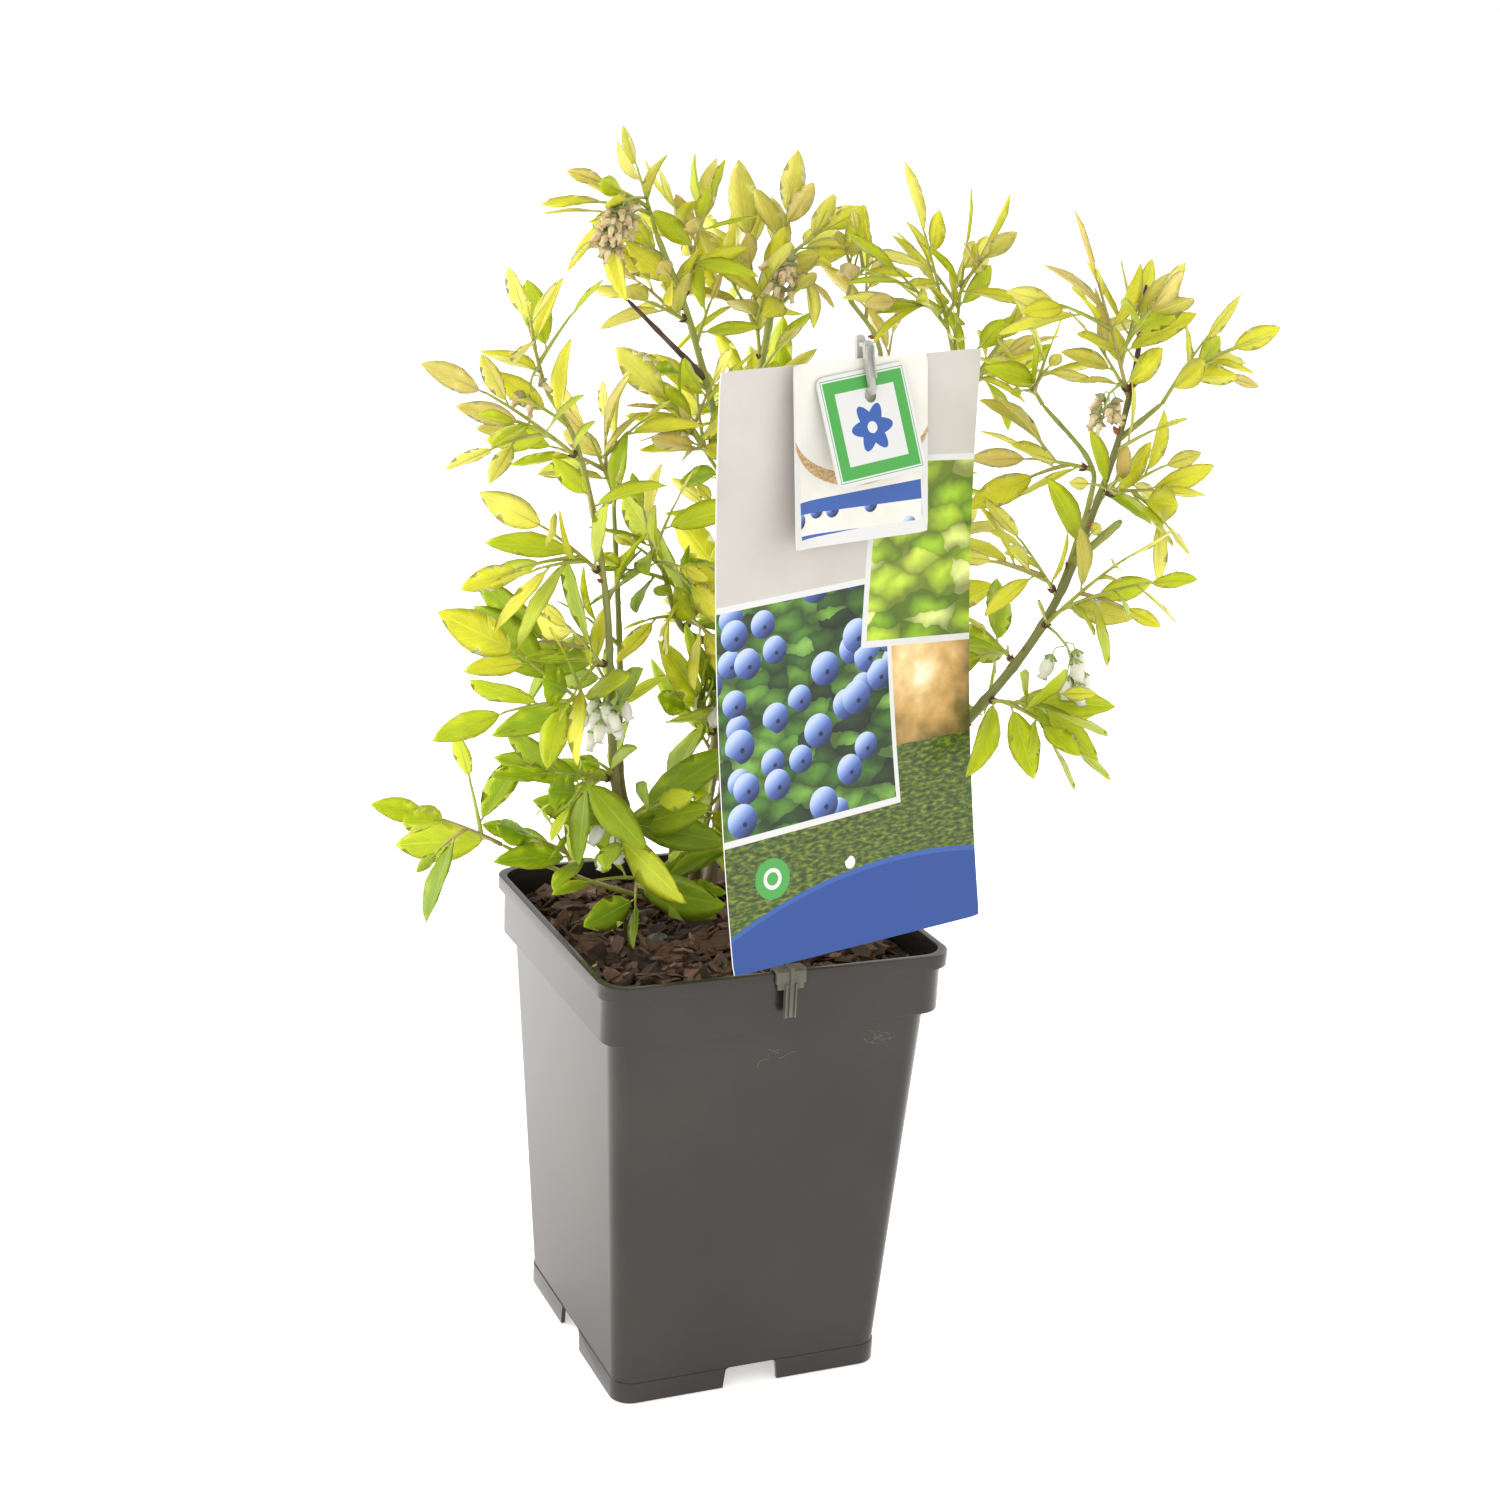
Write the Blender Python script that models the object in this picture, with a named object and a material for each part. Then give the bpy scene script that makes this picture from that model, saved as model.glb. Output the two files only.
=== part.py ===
# Highbush blueberry, a young bush in a square nursery pot, with its label card on a plastic clip.
# Metres, +Z up. The origin is on the ground under the middle of the pot, the pot's front faces -Y.
import math
import random

import bmesh
import bpy
from mathutils import Vector
from mathutils.bvhtree import BVHTree

# Pot: a 150 mm square nursery pot of about three litres
POT_TOP = 0.150
POT_BODY_TOP = 0.137
POT_BOTTOM = 0.1183
POT_HEIGHT = 0.1904
POT_CORNER = 0.011
POT_WALL = 0.0018
LIP_HEIGHT = 0.006
LIP_STANDS_OUT = 0.001
COLLAR_BOTTOM = 0.1465
COLLAR_HEIGHT = 0.0255
COLLAR_STEP = 0.0015
FOOT_HEIGHT = 0.009
FOOT_INSET = 0.0007
FLOOR_UNDER = 0.0094
FLOOR_THICK = 0.0018
NOTCH_WIDTH = 0.025
CENTRE_FOOT = 0.009
DRAIN_RADIUS = 0.0045
DRAIN_REACH = 0.030
CORNER_STEPS = 4

# Growing medium, topped with bark
SOIL_EDGE = 0.1765
SOIL_RISE = 0.003
GAP = 0.0003
SOIL_GAP = 0.0005

# Label card, in a frame of its own: across the card, up the card and out towards its front
CARD_CENTRE = Vector((0.0208, -0.0797, 0.3167))
CARD_TURN = math.radians(11.9)
CARD_LEAN = math.radians(3.2)
CARD_ROLL = math.radians(2.3)
CARD_SIZE = (0.120, 0.228)
CARD_BOW = 0.007
PAPER = 0.0006
PUNCH_RADIUS = 0.0025
PUNCH_AT = (-0.002, -0.0805)
FOLD_SIZE = (0.064, 0.068)
FOLD_TOP = (0.001, 0.1145)
TAG_SIZE = (0.041, 0.041)
TAG_TOP = (0.0005, 0.1105)
TAG_TURN = math.radians(5.3)
TAG_LEAN = math.radians(13)

# Plastic holder: a clip on the rim, a flat stem behind the card and a hook over its top
CLIP_X = 0.0014
CLIP_WIDTH = 0.0125
CLIP_DROP = 0.007
LEG_WIDTH = 0.005
LEG_DROP = 0.019
STEM_WIDTH = 0.0046
PLASTIC = 0.0016
HOOK_RISE = 0.009
HOOK_DROP = 0.013
HOOK_ACROSS = 0.0035
STEM_PARTS = 10

# Canes: points from the foot to the tip, then the radius at the foot and at the tip
CANES = {
    "cane_left": ([(-.016, .030, .178), (-.044, .005, .242), (-.053, .000, .325),
                   (-.066, -.001, .384), (-.080, .002, .410)], .0032, .0013),
    "cane_middle": ([(-.006, .041, .178), (-.034, .025, .236), (-.037, .027, .300),
                     (-.044, .021, .365)], .0030, .0013),
    "cane_centre": ([(.006, .044, .178), (.010, .030, .270), (.014, .041, .357),
                     (-.001, .050, .425), (-.020, .047, .466)], .0034, .0013),
    "cane_rear": ([(.006, .028, .178), (.024, .049, .255), (.033, .066, .370),
                   (.040, .062, .440)], .0032, .0014),
    "cane_right_rear": ([(.012, .008, .178), (.060, .012, .245), (.098, .013, .330),
                         (.106, .017, .390), (.104, .019, .425)], .0030, .0013),
    "cane_right": ([(.016, -.010, .178), (.060, -.035, .242), (.108, -.059, .316),
                    (.127, -.070, .378), (.138, -.068, .421), (.144, -.062, .457)], .0035, .0010),
    "cane_back": ([(.014, .054, .178), (.040, .074, .240), (.060, .090, .320),
                   (.058, .098, .372)], .0030, .0013),
    "cane_back_right": ([(.026, .040, .178), (.066, .062, .260), (.095, .064, .355),
                         (.090, .059, .413), (.072, .058, .439)], .0029, .0012),
}

# Boughs: carrier, where along it (0 to 1), the points after the root, radius at root and tip
BOUGHS = {
    "bough_low_left": ("cane_left", .05, [(-.045, .028, .197), (-.072, .020, .211),
                                          (-.090, .015, .222)], .0017, .0011),
    "bough_cross": ("cane_centre", .40, [(-.008, .031, .305), (-.024, .014, .334)], .0021, .0013),
    "bough_dead_stub": ("cane_centre", .78, [(-.033, .041, .439)], .0014, .0008),
    "bough_cut_stub": ("cane_right", .65, [(.1265, -.087, .369)], .0017, .0016),
    "bough_inner": ("cane_right", .60, [(.134, -.050, .370), (.136, -.043, .385),
                                        (.123, -.025, .405)], .0016, .0010),
    "bough_fork": ("cane_right", .81, [(.155, -.064, .411)], .0015, .0011),
}

# Foliage masses: carrier, where along it, length of a full leaf, the tip that the main twig
# reaches with its last leaf, and the tips of its side twigs
MASSES = {
    "leaves_left_top": ("cane_left", 1, .036, [(-.094, .003, .454)]),
    "leaves_left_upper": ("cane_left", .87, .032, [(-.131, -.011, .421), (-.112, -.020, .404)]),
    "leaves_left_inner": ("cane_middle", 1, .036, [(-.066, .024, .408), (-.044, .036, .406)]),
    "leaves_left_mid": ("cane_left", .68, .046, [(-.108, -.013, .372), (-.107, -.018, .337)]),
    "leaves_left_low": ("cane_left", .53, .044, [(-.084, -.012, .306), (-.070, .030, .318)]),
    "leaves_left_long": ("cane_left", .42, .044, [(-.123, -.012, .326), (-.085, -.028, .322)]),
    "leaves_left_hang": ("cane_left", .33, .036, [(-.102, -.008, .258), (-.086, -.014, .243)]),
    "leaves_front_big": ("cane_left", .24, .048, [(-.064, -.040, .228), (-.070, -.024, .262)]),
    "leaves_front_low": ("cane_left", .13, .046, [(-.048, -.030, .188), (-.074, -.004, .206),
                                                  (-.008, -.030, .209)]),
    "leaves_low_left": ("bough_low_left", 1, .040, [(-.149, .010, .246), (-.112, .004, .272),
                                                    (-.126, .016, .212)]),
    "leaves_low_left_root": ("bough_low_left", .45, .034, [(-.078, -.004, .240)]),
    "leaves_cross_tip": ("bough_cross", 1, .038, [(-.050, .000, .352), (-.020, -.024, .338),
                                                  (-.014, .012, .374)]),
    "leaves_cross_root": ("bough_cross", .35, .040, [(-.004, -.004, .330), (.004, .004, .300)]),
    "leaves_low_centre": ("cane_centre", .15, .042, [(-.010, -.010, .226), (.012, .002, .250)]),
    "leaves_centre": ("cane_centre", .27, .044, [(-.028, .002, .284), (.000, -.006, .290)]),
    "leaves_centre_high": ("cane_centre", .63, .038, [(-.040, .028, .420), (-.016, .024, .398),
                                                      (-.010, .022, .372)]),
    "leaves_top_left": ("cane_centre", 1, .036, [(-.036, .048, .508), (-.072, .036, .477)]),
    "leaves_top_left_low": ("cane_centre", .86, .036, [(-.048, .042, .444), (-.034, .064, .452)]),
    "leaves_top_mid_left": ("cane_centre", .89, .036, [(.010, .061, .492), (.004, .034, .462)]),
    "leaves_top_mid": ("cane_rear", .88, .038, [(.024, .068, .490), (.010, .078, .464)]),
    "leaves_top_rear": ("cane_rear", 1, .034, [(.045, .057, .496), (.072, .060, .476),
                                               (.064, .050, .434)]),
    "leaves_rear_low": ("cane_rear", .78, .038, [(.008, .078, .408), (.020, .040, .412)]),
    "leaves_right_rear_top": ("cane_right_rear", 1, .030, [(.108, .019, .485)]),
    "leaves_right_rear_left": ("cane_right_rear", .96, .036, [(.073, .012, .494),
                                                              (.055, .022, .468)]),
    "leaves_right_rear_low": ("cane_right_rear", .90, .034, [(.143, .020, .444),
                                                             (.128, -.006, .430)]),
    "leaves_right_rear_foot": ("cane_right_rear", .42, .040, [(.100, .012, .238),
                                                              (.112, .030, .276)]),
    "leaves_back_right_top": ("cane_back_right", 1, .032, [(.077, .056, .466), (.094, .050, .452)]),
    "leaves_back_right_mid": ("cane_back_right", .62, .038, [(.134, .078, .372),
                                                             (.110, .096, .352)]),
    "leaves_back_right_low": ("cane_back_right", .34, .040, [(.102, .090, .272),
                                                             (.120, .060, .262)]),
    "leaves_back_top": ("cane_back", 1, .038, [(.050, .108, .410), (.078, .104, .398)]),
    "leaves_back_mid": ("cane_back", .55, .040, [(.022, .118, .334), (.066, .124, .312),
                                                 (.030, .104, .290)]),
    "leaves_right_top": ("cane_right", .86, .036, [(.104, -.072, .483), (.151, -.054, .465),
                                                   (.112, -.086, .440)]),
    "leaves_right_fork": ("bough_fork", 1, .036, [(.189, -.060, .452), (.199, -.075, .442),
                                                  (.196, -.070, .418)]),
    "leaves_right_mid": ("cane_right", .74, .036, [(.153, -.104, .381), (.104, -.084, .384)]),
    "leaves_right_inner": ("bough_inner", 1, .036, [(.103, -.020, .430), (.100, -.040, .412)]),
    "leaves_right_inner_low": ("bough_inner", .62, .036, [(.088, -.030, .384),
                                                          (.112, -.030, .372)]),
    "leaves_right_low_out": ("cane_right", .55, .030, [(.135, -.110, .369), (.142, -.125, .354),
                                                       (.139, -.104, .330)]),
    "leaves_right_low_in": ("cane_right", .60, .032, [(.097, -.031, .368), (.086, -.026, .344)]),
    "leaves_right_flower": ("cane_right", .44, .040, [(.109, -.120, .293), (.100, -.116, .283),
                                                      (.118, -.094, .302)]),
    "leaves_right_foot": ("cane_right", .50, .042, [(.096, -.020, .318), (.114, -.028, .306)]),
}

# How the shoots grow
SEED = 11
GOLDEN_ANGLE = math.radians(137.5)
LEAF_PITCH = 0.0115
FIRST_LEAF = 0.007
LEAF_SHAPE = 0.42
LEAF_WIDTH = 0.50
LEAF_THICK = 0.0008
LEAF_FOLD = math.radians(13)
LEAF_DROOP = 0.07
LEAF_FACES_UP = 0.80
LEAF_FACES_TIP = 0.45
LEAF_SAG = 0.12
SMALLEST_LEAF = 0.62
SIZE_FROM = 0.15
SIZE_SPAN = 0.75
SIZE_VARIES = 0.10
SPREAD_AT_FOOT = math.radians(64)
SPREAD_AT_TIP = math.radians(42)
SPREAD_VARIES = 0.12
LAST_LEAF = 0.9
LAST_LEAF_SHARE = 0.5
ROOT_HALF = 0.0006
ROOT_SHARE = 0.25
TURNS_TRIED = (0, .6, -.6, 1.2, -1.2, 1.9)
TWIG_FOOT = 0.0012
TWIG_TIP = 0.0007
TWIG_STEP = 0.016
TWIG_SIDES = 3
TWIG_BOW = 0.10
FORKS_AT = (.30, .52)
TWIGS_ENOUGH = 3
OFFSHOOT_AT = .38
OFFSHOOT_REACH = .62
OFFSHOOT_SPREAD = math.radians(52)
OFFSHOOTS_TRIED = 9
SEAT_STEPS = 80
BOWS_TRIED = ((0, 1), (.12, 1), (-.12, 1), (.25, 1), (-.25, 1), (0, -1), (.3, -1), (-.3, -1))
CANE_SIDES = 8
CANE_STEP = 0.026
BOUGH_SIDES = 6
CLEAR = 0.0006
CROWN_LOW = Vector((-.150, -.127, .182))
CROWN_HIGH = Vector((.200, .127, .509))

# Colours (red, green, blue), roughness
FINISHES = {
    "pot": ((.075, .070, .066), .45),
    "medium": ((.060, .033, .022), .95),
    "paper": ((.78, .77, .74), .55),
    "holder": ((.19, .20, .17), .40),
    "cane": ((.20, .19, .06), .65),
    "dead": ((.075, .045, .038), .85),
    "leaf": ((.33, .42, .06), .50),
}

UP = Vector((0, 0, 1))


def clear_scene():
    for thing in list(bpy.data.objects):
        bpy.data.objects.remove(thing, do_unlink=True)


def finish(name, key):
    colour, roughness = FINISHES[key]
    material = bpy.data.materials.new(name + "_finish")
    material.use_nodes = True
    shader = material.node_tree.nodes["Principled BSDF"]
    shader.inputs["Base Color"].default_value = (*colour, 1)
    shader.inputs["Roughness"].default_value = roughness
    shader.inputs["Metallic"].default_value = 0
    return material


def add_object(name, verts, faces, key):
    mesh = bpy.data.meshes.new(name)
    mesh.from_pydata([tuple(v) for v in verts], [], faces)
    shape = bmesh.new()
    shape.from_mesh(mesh)
    bmesh.ops.recalc_face_normals(shape, faces=shape.faces)
    shape.to_mesh(mesh)
    shape.free()
    thing = bpy.data.objects.new(name, mesh)
    bpy.context.scene.collection.objects.link(thing)
    mesh.materials.append(finish(name, key))
    return thing


def hide_cutter(thing):
    thing.hide_render = True
    thing.display_type = "WIRE"


def cut(thing, cutter, operation="DIFFERENCE"):
    hide_cutter(cutter)
    modifier = thing.modifiers.new("cut", "BOOLEAN")
    modifier.object = cutter
    modifier.operation = operation
    modifier.solver = "EXACT"


def apply_modifiers(thing):
    graph = bpy.context.evaluated_depsgraph_get()
    mesh = bpy.data.meshes.new_from_object(thing.evaluated_get(graph))
    thing.modifiers.clear()
    thing.data = mesh


def rounded_square(half, z, corner):
    ring = []
    for quarter in range(4):
        for step in range(CORNER_STEPS + 1):
            angle = math.pi / 2 * (quarter + step / CORNER_STEPS)
            middle = math.pi / 2 * quarter + math.pi / 4
            reach = (half - corner) * math.sqrt(2)
            ring.append(Vector((reach * math.cos(middle) + corner * math.cos(angle),
                                reach * math.sin(middle) + corner * math.sin(angle), z)))
    return ring


def loft(rings):
    verts = [v for ring in rings for v in ring]
    count = len(rings[0])
    faces = []
    for row in range(len(rings) - 1):
        for i in range(count):
            j = (i + 1) % count
            low = row * count
            faces.append((low + i, low + j, low + count + j, low + count + i))
    faces.append(tuple(reversed(range(count))))
    faces.append(tuple(range(len(verts) - count, len(verts))))
    return verts, faces


def box(name, low, high):
    verts = [Vector((x, y, z)) for z in (low[2], high[2])
             for x, y in ((low[0], low[1]), (high[0], low[1]), (high[0], high[1]), (low[0], high[1]))]
    faces = [(3, 2, 1, 0), (4, 5, 6, 7), (0, 1, 5, 4), (1, 2, 6, 5), (2, 3, 7, 6), (3, 0, 4, 7)]
    return add_object(name, verts, faces, "holder")


def inner_half(z):
    """Half the width between the pot's walls at a height."""
    step = POT_HEIGHT - COLLAR_HEIGHT
    if z > step:
        return COLLAR_BOTTOM / 2 - POT_WALL
    share = (z - FOOT_HEIGHT) / (step - FOOT_HEIGHT)
    return (POT_BOTTOM + (POT_BODY_TOP - POT_BOTTOM) * share) / 2 - POT_WALL


def build_pot():
    step = POT_HEIGHT - COLLAR_HEIGHT
    lip = POT_HEIGHT - LIP_HEIGHT
    foot = POT_BOTTOM / 2 - FOOT_INSET
    collar_top = POT_TOP / 2 - LIP_STANDS_OUT
    floor_top = FLOOR_UNDER + FLOOR_THICK
    profile = [(foot - POT_WALL, FLOOR_UNDER), (foot - POT_WALL, 0), (foot, 0), (foot, FOOT_HEIGHT),
               (POT_BOTTOM / 2, FOOT_HEIGHT), (POT_BODY_TOP / 2, step - COLLAR_STEP),
               (COLLAR_BOTTOM / 2, step), (collar_top, lip), (POT_TOP / 2, lip),
               (POT_TOP / 2, POT_HEIGHT), (collar_top - POT_WALL / 2, POT_HEIGHT),
               (COLLAR_BOTTOM / 2 - POT_WALL, step + COLLAR_STEP),
               (POT_BODY_TOP / 2 - POT_WALL, step), (inner_half(floor_top), floor_top)]
    rings = [rounded_square(half, z, POT_CORNER) for half, z in profile]
    verts, faces = loft(rings)
    pot = add_object("pot", verts, faces, "pot")
    far = POT_BOTTOM
    half = NOTCH_WIDTH / 2
    deep = -POT_WALL
    cut(pot, box("notch_x", (-far, -half, deep), (far, half, FOOT_HEIGHT)))
    cut(pot, box("notch_y", (-half, -far, deep), (half, far, FOOT_HEIGHT)))
    verts, faces = tube([Vector(), UP * (floor_top - FLOOR_THICK / 2)], [CENTRE_FOOT] * 2, CANE_SIDES)
    cut(pot, add_object("centre_foot", verts, faces, "pot"), "UNION")
    for index in range(4):
        angle = math.pi / 2 * index + math.pi / 4
        centre = Vector((math.cos(angle), math.sin(angle), 0)) * DRAIN_REACH
        low = centre + UP * (FLOOR_UNDER - POT_WALL)
        high = centre + UP * (floor_top + POT_WALL)
        verts, faces = tube([low, high], [DRAIN_RADIUS] * 2, CANE_SIDES)
        cut(pot, add_object(f"drain_{index}", verts, faces, "pot"))
    return pot


def soil_height(half):
    return SOIL_EDGE + SOIL_RISE * (1 - (half / (POT_TOP / 2)) ** 2)


def build_medium():
    step = POT_HEIGHT - COLLAR_HEIGHT
    floor = FLOOR_UNDER + FLOOR_THICK + SOIL_GAP
    wide = inner_half(POT_HEIGHT) - SOIL_GAP
    rings = [rounded_square(inner_half(floor) - SOIL_GAP, floor, POT_CORNER),
             rounded_square(inner_half(step) - SOIL_GAP, step - SOIL_GAP, POT_CORNER),
             rounded_square(inner_half(step) - SOIL_GAP, step + COLLAR_STEP + SOIL_GAP, POT_CORNER),
             rounded_square(wide, step + COLLAR_STEP + 2 * SOIL_GAP, POT_CORNER),
             rounded_square(wide, soil_height(wide), POT_CORNER)]
    for share in (.75, .45, .2):
        half = wide * share
        rings.append(rounded_square(half, soil_height(half), POT_CORNER * share))
    verts, faces = loft(rings)
    return add_object("growing_medium", verts, faces, "medium")


def card_frame():
    """The label card's directions: across it, up it and out of its front."""
    flat = Vector((math.cos(CARD_TURN), math.sin(CARD_TURN), 0))
    out = Vector((math.sin(CARD_TURN), -math.cos(CARD_TURN), 0))
    rise = UP * math.cos(CARD_LEAN) - out * math.sin(CARD_LEAN)
    out = out * math.cos(CARD_LEAN) + UP * math.sin(CARD_LEAN)
    across = flat * math.cos(CARD_ROLL) + rise * math.sin(CARD_ROLL)
    rise = rise * math.cos(CARD_ROLL) - flat * math.sin(CARD_ROLL)
    return across, rise, out


def on_card(across, rise, out):
    axes = card_frame()
    return CARD_CENTRE + axes[0] * across + axes[1] * rise + axes[2] * out


def sheet(name, rows, place):
    """A paper sheet whose front is at place(u, v, 0), for u and v from 0 to 1."""
    verts = []
    for out in (0, -PAPER):
        for row in range(rows + 1):
            for u in (0, 1):
                verts.append(place(u, row / rows, out))
    back = 2 * (rows + 1)
    faces = [(0, 1, back + 1, back), (2 * rows + 1, 2 * rows, back + 2 * rows, back + 2 * rows + 1)]
    for row in range(rows):
        a = 2 * row
        faces.append((a, a + 1, a + 3, a + 2))
        faces.append((back + a + 1, back + a, back + a + 2, back + a + 3))
        faces.append((a, a + 2, back + a + 2, back + a))
        faces.append((a + 1, back + a + 1, back + a + 3, a + 3))
    return add_object(name, verts, faces, "paper")


def card_bow(rise):
    """How far the card's middle hangs back from its top and bottom edges."""
    return -CARD_BOW * (1 - (rise / (CARD_SIZE[1] / 2)) ** 2)


def build_card():
    wide, high = CARD_SIZE

    def place(u, v, out):
        rise = (v - .5) * high
        return on_card((u - .5) * wide, rise, card_bow(rise) + out)

    card = sheet("label_card", 8, place)
    verts, faces = tube([on_card(*PUNCH_AT, -3 * CARD_BOW), on_card(*PUNCH_AT, CARD_BOW)],
                        [PUNCH_RADIUS] * 2, CANE_SIDES)
    cut(card, add_object("card_punch", verts, faces, "paper"))
    return card


def build_fold():
    """The smaller folded leaf that hangs in front of the card."""
    wide, high = FOLD_SIZE

    def place(u, v, out):
        return on_card(FOLD_TOP[0] + (u - .5) * wide, FOLD_TOP[1] - (1 - v) * high,
                       PAPER + GAP + out)

    return sheet("label_fold", 1, place)


def build_tag():
    """The square tag in front of the leaf, its foot swung forward."""
    wide, high = TAG_SIZE

    def place(u, v, out):
        side = (u - .5) * wide
        down = (1 - v) * high
        swing = math.sin(TAG_LEAN) * down
        drop = math.cos(TAG_LEAN) * down
        return on_card(TAG_TOP[0] + side * math.cos(TAG_TURN) + drop * math.sin(TAG_TURN),
                       TAG_TOP[1] + side * math.sin(TAG_TURN) - drop * math.cos(TAG_TURN),
                       2 * (PAPER + GAP) + swing + out)

    return sheet("label_tag", 1, place)


def strip(name, path, side, width):
    """A flat strip of plastic swept along a path, its width along one direction."""
    rings = []
    for i, point in enumerate(path):
        before = (point - path[i - 1]).normalized() if i else None
        after = (path[i + 1] - point).normalized() if i + 1 < len(path) else None
        run = ((before or after) + (after or before)).normalized()
        thick = run.cross(side).normalized()
        mitre = 1 / max(.5, run.dot(after or before))
        half = thick * (PLASTIC / 2 * mitre)
        edge = side * (width / 2)
        rings.append([point - edge - half, point + edge - half, point + edge + half,
                      point - edge + half])
    verts, faces = loft(rings)
    return add_object(name, verts, faces, "holder")


def stem_route(low):
    """Up from the rim behind the card, along its back, and over its top edge."""
    back = -PAPER - 2 * GAP - PLASTIC / 2
    front = 2 * (PAPER + GAP) + GAP + PLASTIC / 2
    top = CARD_SIZE[1] / 2
    start = [(low - CARD_CENTRE).dot(axis) for axis in card_frame()]
    route = []
    for i in range(STEM_PARTS + 1):
        share = i / STEM_PARTS
        rise = start[1] + (top - start[1]) * share
        straight = start[2] + (back - start[2]) * share
        route.append(on_card(start[0] + (HOOK_ACROSS - start[0]) * share, rise,
                             min(straight, back + card_bow(rise))))
    return route + [on_card(HOOK_ACROSS, top + HOOK_RISE, back),
                    on_card(HOOK_ACROSS, top + HOOK_RISE, front),
                    on_card(HOOK_ACROSS, top - HOOK_DROP, front + HOOK_DROP * math.sin(TAG_LEAN))]


def build_holder():
    """Rim clip, stem and hook as one plastic moulding."""
    side = Vector((1, 0, 0))
    face = -POT_TOP / 2 - GAP - PLASTIC / 2
    inside = -(POT_TOP / 2 - LIP_STANDS_OUT - POT_WALL / 2) + POT_WALL / 4 + PLASTIC / 2 + GAP
    over = POT_HEIGHT + GAP + PLASTIC / 2

    def at(y, z):
        return Vector((CLIP_X, y, z))

    clip = strip("label_holder", [at(inside, over - CLIP_DROP), at(inside, over), at(face, over),
                                  at(face, over - CLIP_DROP)], side, CLIP_WIDTH)
    leg = strip("clip_leg", [at(face, over - PLASTIC), at(face, over - LEG_DROP)], side, LEG_WIDTH)
    stem = strip("clip_stem", stem_route(at(inside, over - PLASTIC)), card_frame()[0], STEM_WIDTH)
    cut(clip, leg, "UNION")
    cut(clip, stem, "UNION")
    return clip


def spline(points, step):
    """Points along a smooth curve through the given ones, about a step apart."""
    knots = [Vector(p) for p in points]
    knots = [2 * knots[0] - knots[1]] + knots + [2 * knots[-1] - knots[-2]]
    path = [knots[1]]
    for a, b, c, d in zip(knots, knots[1:], knots[2:], knots[3:]):
        parts = max(1, round((c - b).length / step))
        for i in range(1, parts + 1):
            t = i / parts
            path.append(.5 * (2 * b + (c - a) * t + (2 * a - 5 * b + 4 * c - d) * t * t
                              + (3 * b - a - 3 * c + d) * t ** 3))
    return path


def tube(path, radii, sides):
    """A closed faceted tube along a path, with a flat cut at each end."""
    rings = []
    reference = Vector((1, 0, 0)) if abs((path[1] - path[0]).normalized().z) > .7 else UP
    for i, point in enumerate(path):
        run = (path[min(i + 1, len(path) - 1)] - path[max(i - 1, 0)]).normalized()
        side = (reference - run * reference.dot(run)).normalized()
        other = run.cross(side)
        reference = side
        rings.append([point + radii[i] * (side * math.cos(a) + other * math.sin(a))
                      for a in (math.tau * k / sides for k in range(sides))])
    return loft(rings)


def along(path, share):
    """The point and direction at a share of a path's length."""
    lengths = [(b - a).length for a, b in zip(path, path[1:])]
    left = sum(lengths) * share
    for i, length in enumerate(lengths):
        if left <= length or i == len(lengths) - 1:
            run = path[i + 1] - path[i]
            return path[i] + run * min(1, left / length), run.normalized()
        left -= length


class Space:
    """Every solid placed so far, to keep the next one clear of it."""

    def __init__(self):
        self.placed = []

    def add(self, owner, verts, faces):
        centre = sum(verts, Vector()) / len(verts)
        reach = max((v - centre).length for v in verts)
        self.placed.append((owner, centre, reach, BVHTree.FromPolygons(verts, faces)))

    def add_object(self, thing):
        graph = bpy.context.evaluated_depsgraph_get()
        mesh = thing.evaluated_get(graph).to_mesh()
        self.add(thing.name, [v.co.copy() for v in mesh.vertices],
                 [tuple(p.vertices) for p in mesh.polygons])

    def hits(self, verts, faces, skip=()):
        centre = sum(verts, Vector()) / len(verts)
        reach = max((v - centre).length for v in verts)
        tree = None
        for owner, middle, other, placed in self.placed:
            if owner in skip or (middle - centre).length > reach + other:
                continue
            tree = tree or BVHTree.FromPolygons(verts, faces)
            if tree.overlap(placed):
                return True
        return False


def outside(low, high, point):
    return any(point[i] < low[i] or point[i] > high[i] for i in range(3))


def seat(space, root, aim, make_path, radii, sides):
    """Slide a limb's foot out along aim until it is just clear of the limb that carries it."""
    run = (aim - root).normalized()
    for step in range(SEAT_STEPS):
        path = make_path(root + run * (step * GAP / 2))
        first = (path[1] - path[0]).normalized()
        grown = [path[0] - first * GAP] + path[1:]
        if not space.hits(*tube(grown, taper(path, radii, GAP), sides)):
            return path
    return None


def taper(path, radii, grow=0.0):
    last = len(path) - 1
    return [radii[0] + (radii[1] - radii[0]) * i / last + grow for i in range(last + 1)]


def build_canes(space, paths):
    for name, (points, foot, tip) in CANES.items():
        path = spline(points, CANE_STEP)
        centre = max(abs(path[0].x), abs(path[0].y))
        path[0].z = soil_height(centre) + GAP
        verts, faces = tube(path, taper(path, (foot, tip)), CANE_SIDES)
        for vert in verts[:CANE_SIDES]:
            vert.z = path[0].z
        add_limb(space, paths, name, path, verts, faces, "cane")


def add_limb(space, paths, name, path, verts, faces, key):
    add_object(name, verts, faces, key)
    space.add(name, verts, faces)
    paths[name] = path


def build_boughs(space, paths):
    for name, (carrier, share, points, foot, tip) in BOUGHS.items():
        root, _ = along(paths[carrier], share)
        path = seat(space, root, Vector(points[0]), lambda start: spline([start] + points, CANE_STEP),
                    (foot, tip), BOUGH_SIDES)
        verts, faces = tube(path, taper(path, (foot, tip)), BOUGH_SIDES)
        add_limb(space, paths, name, path, verts, faces, "dead" if "dead" in name else "cane")


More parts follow.
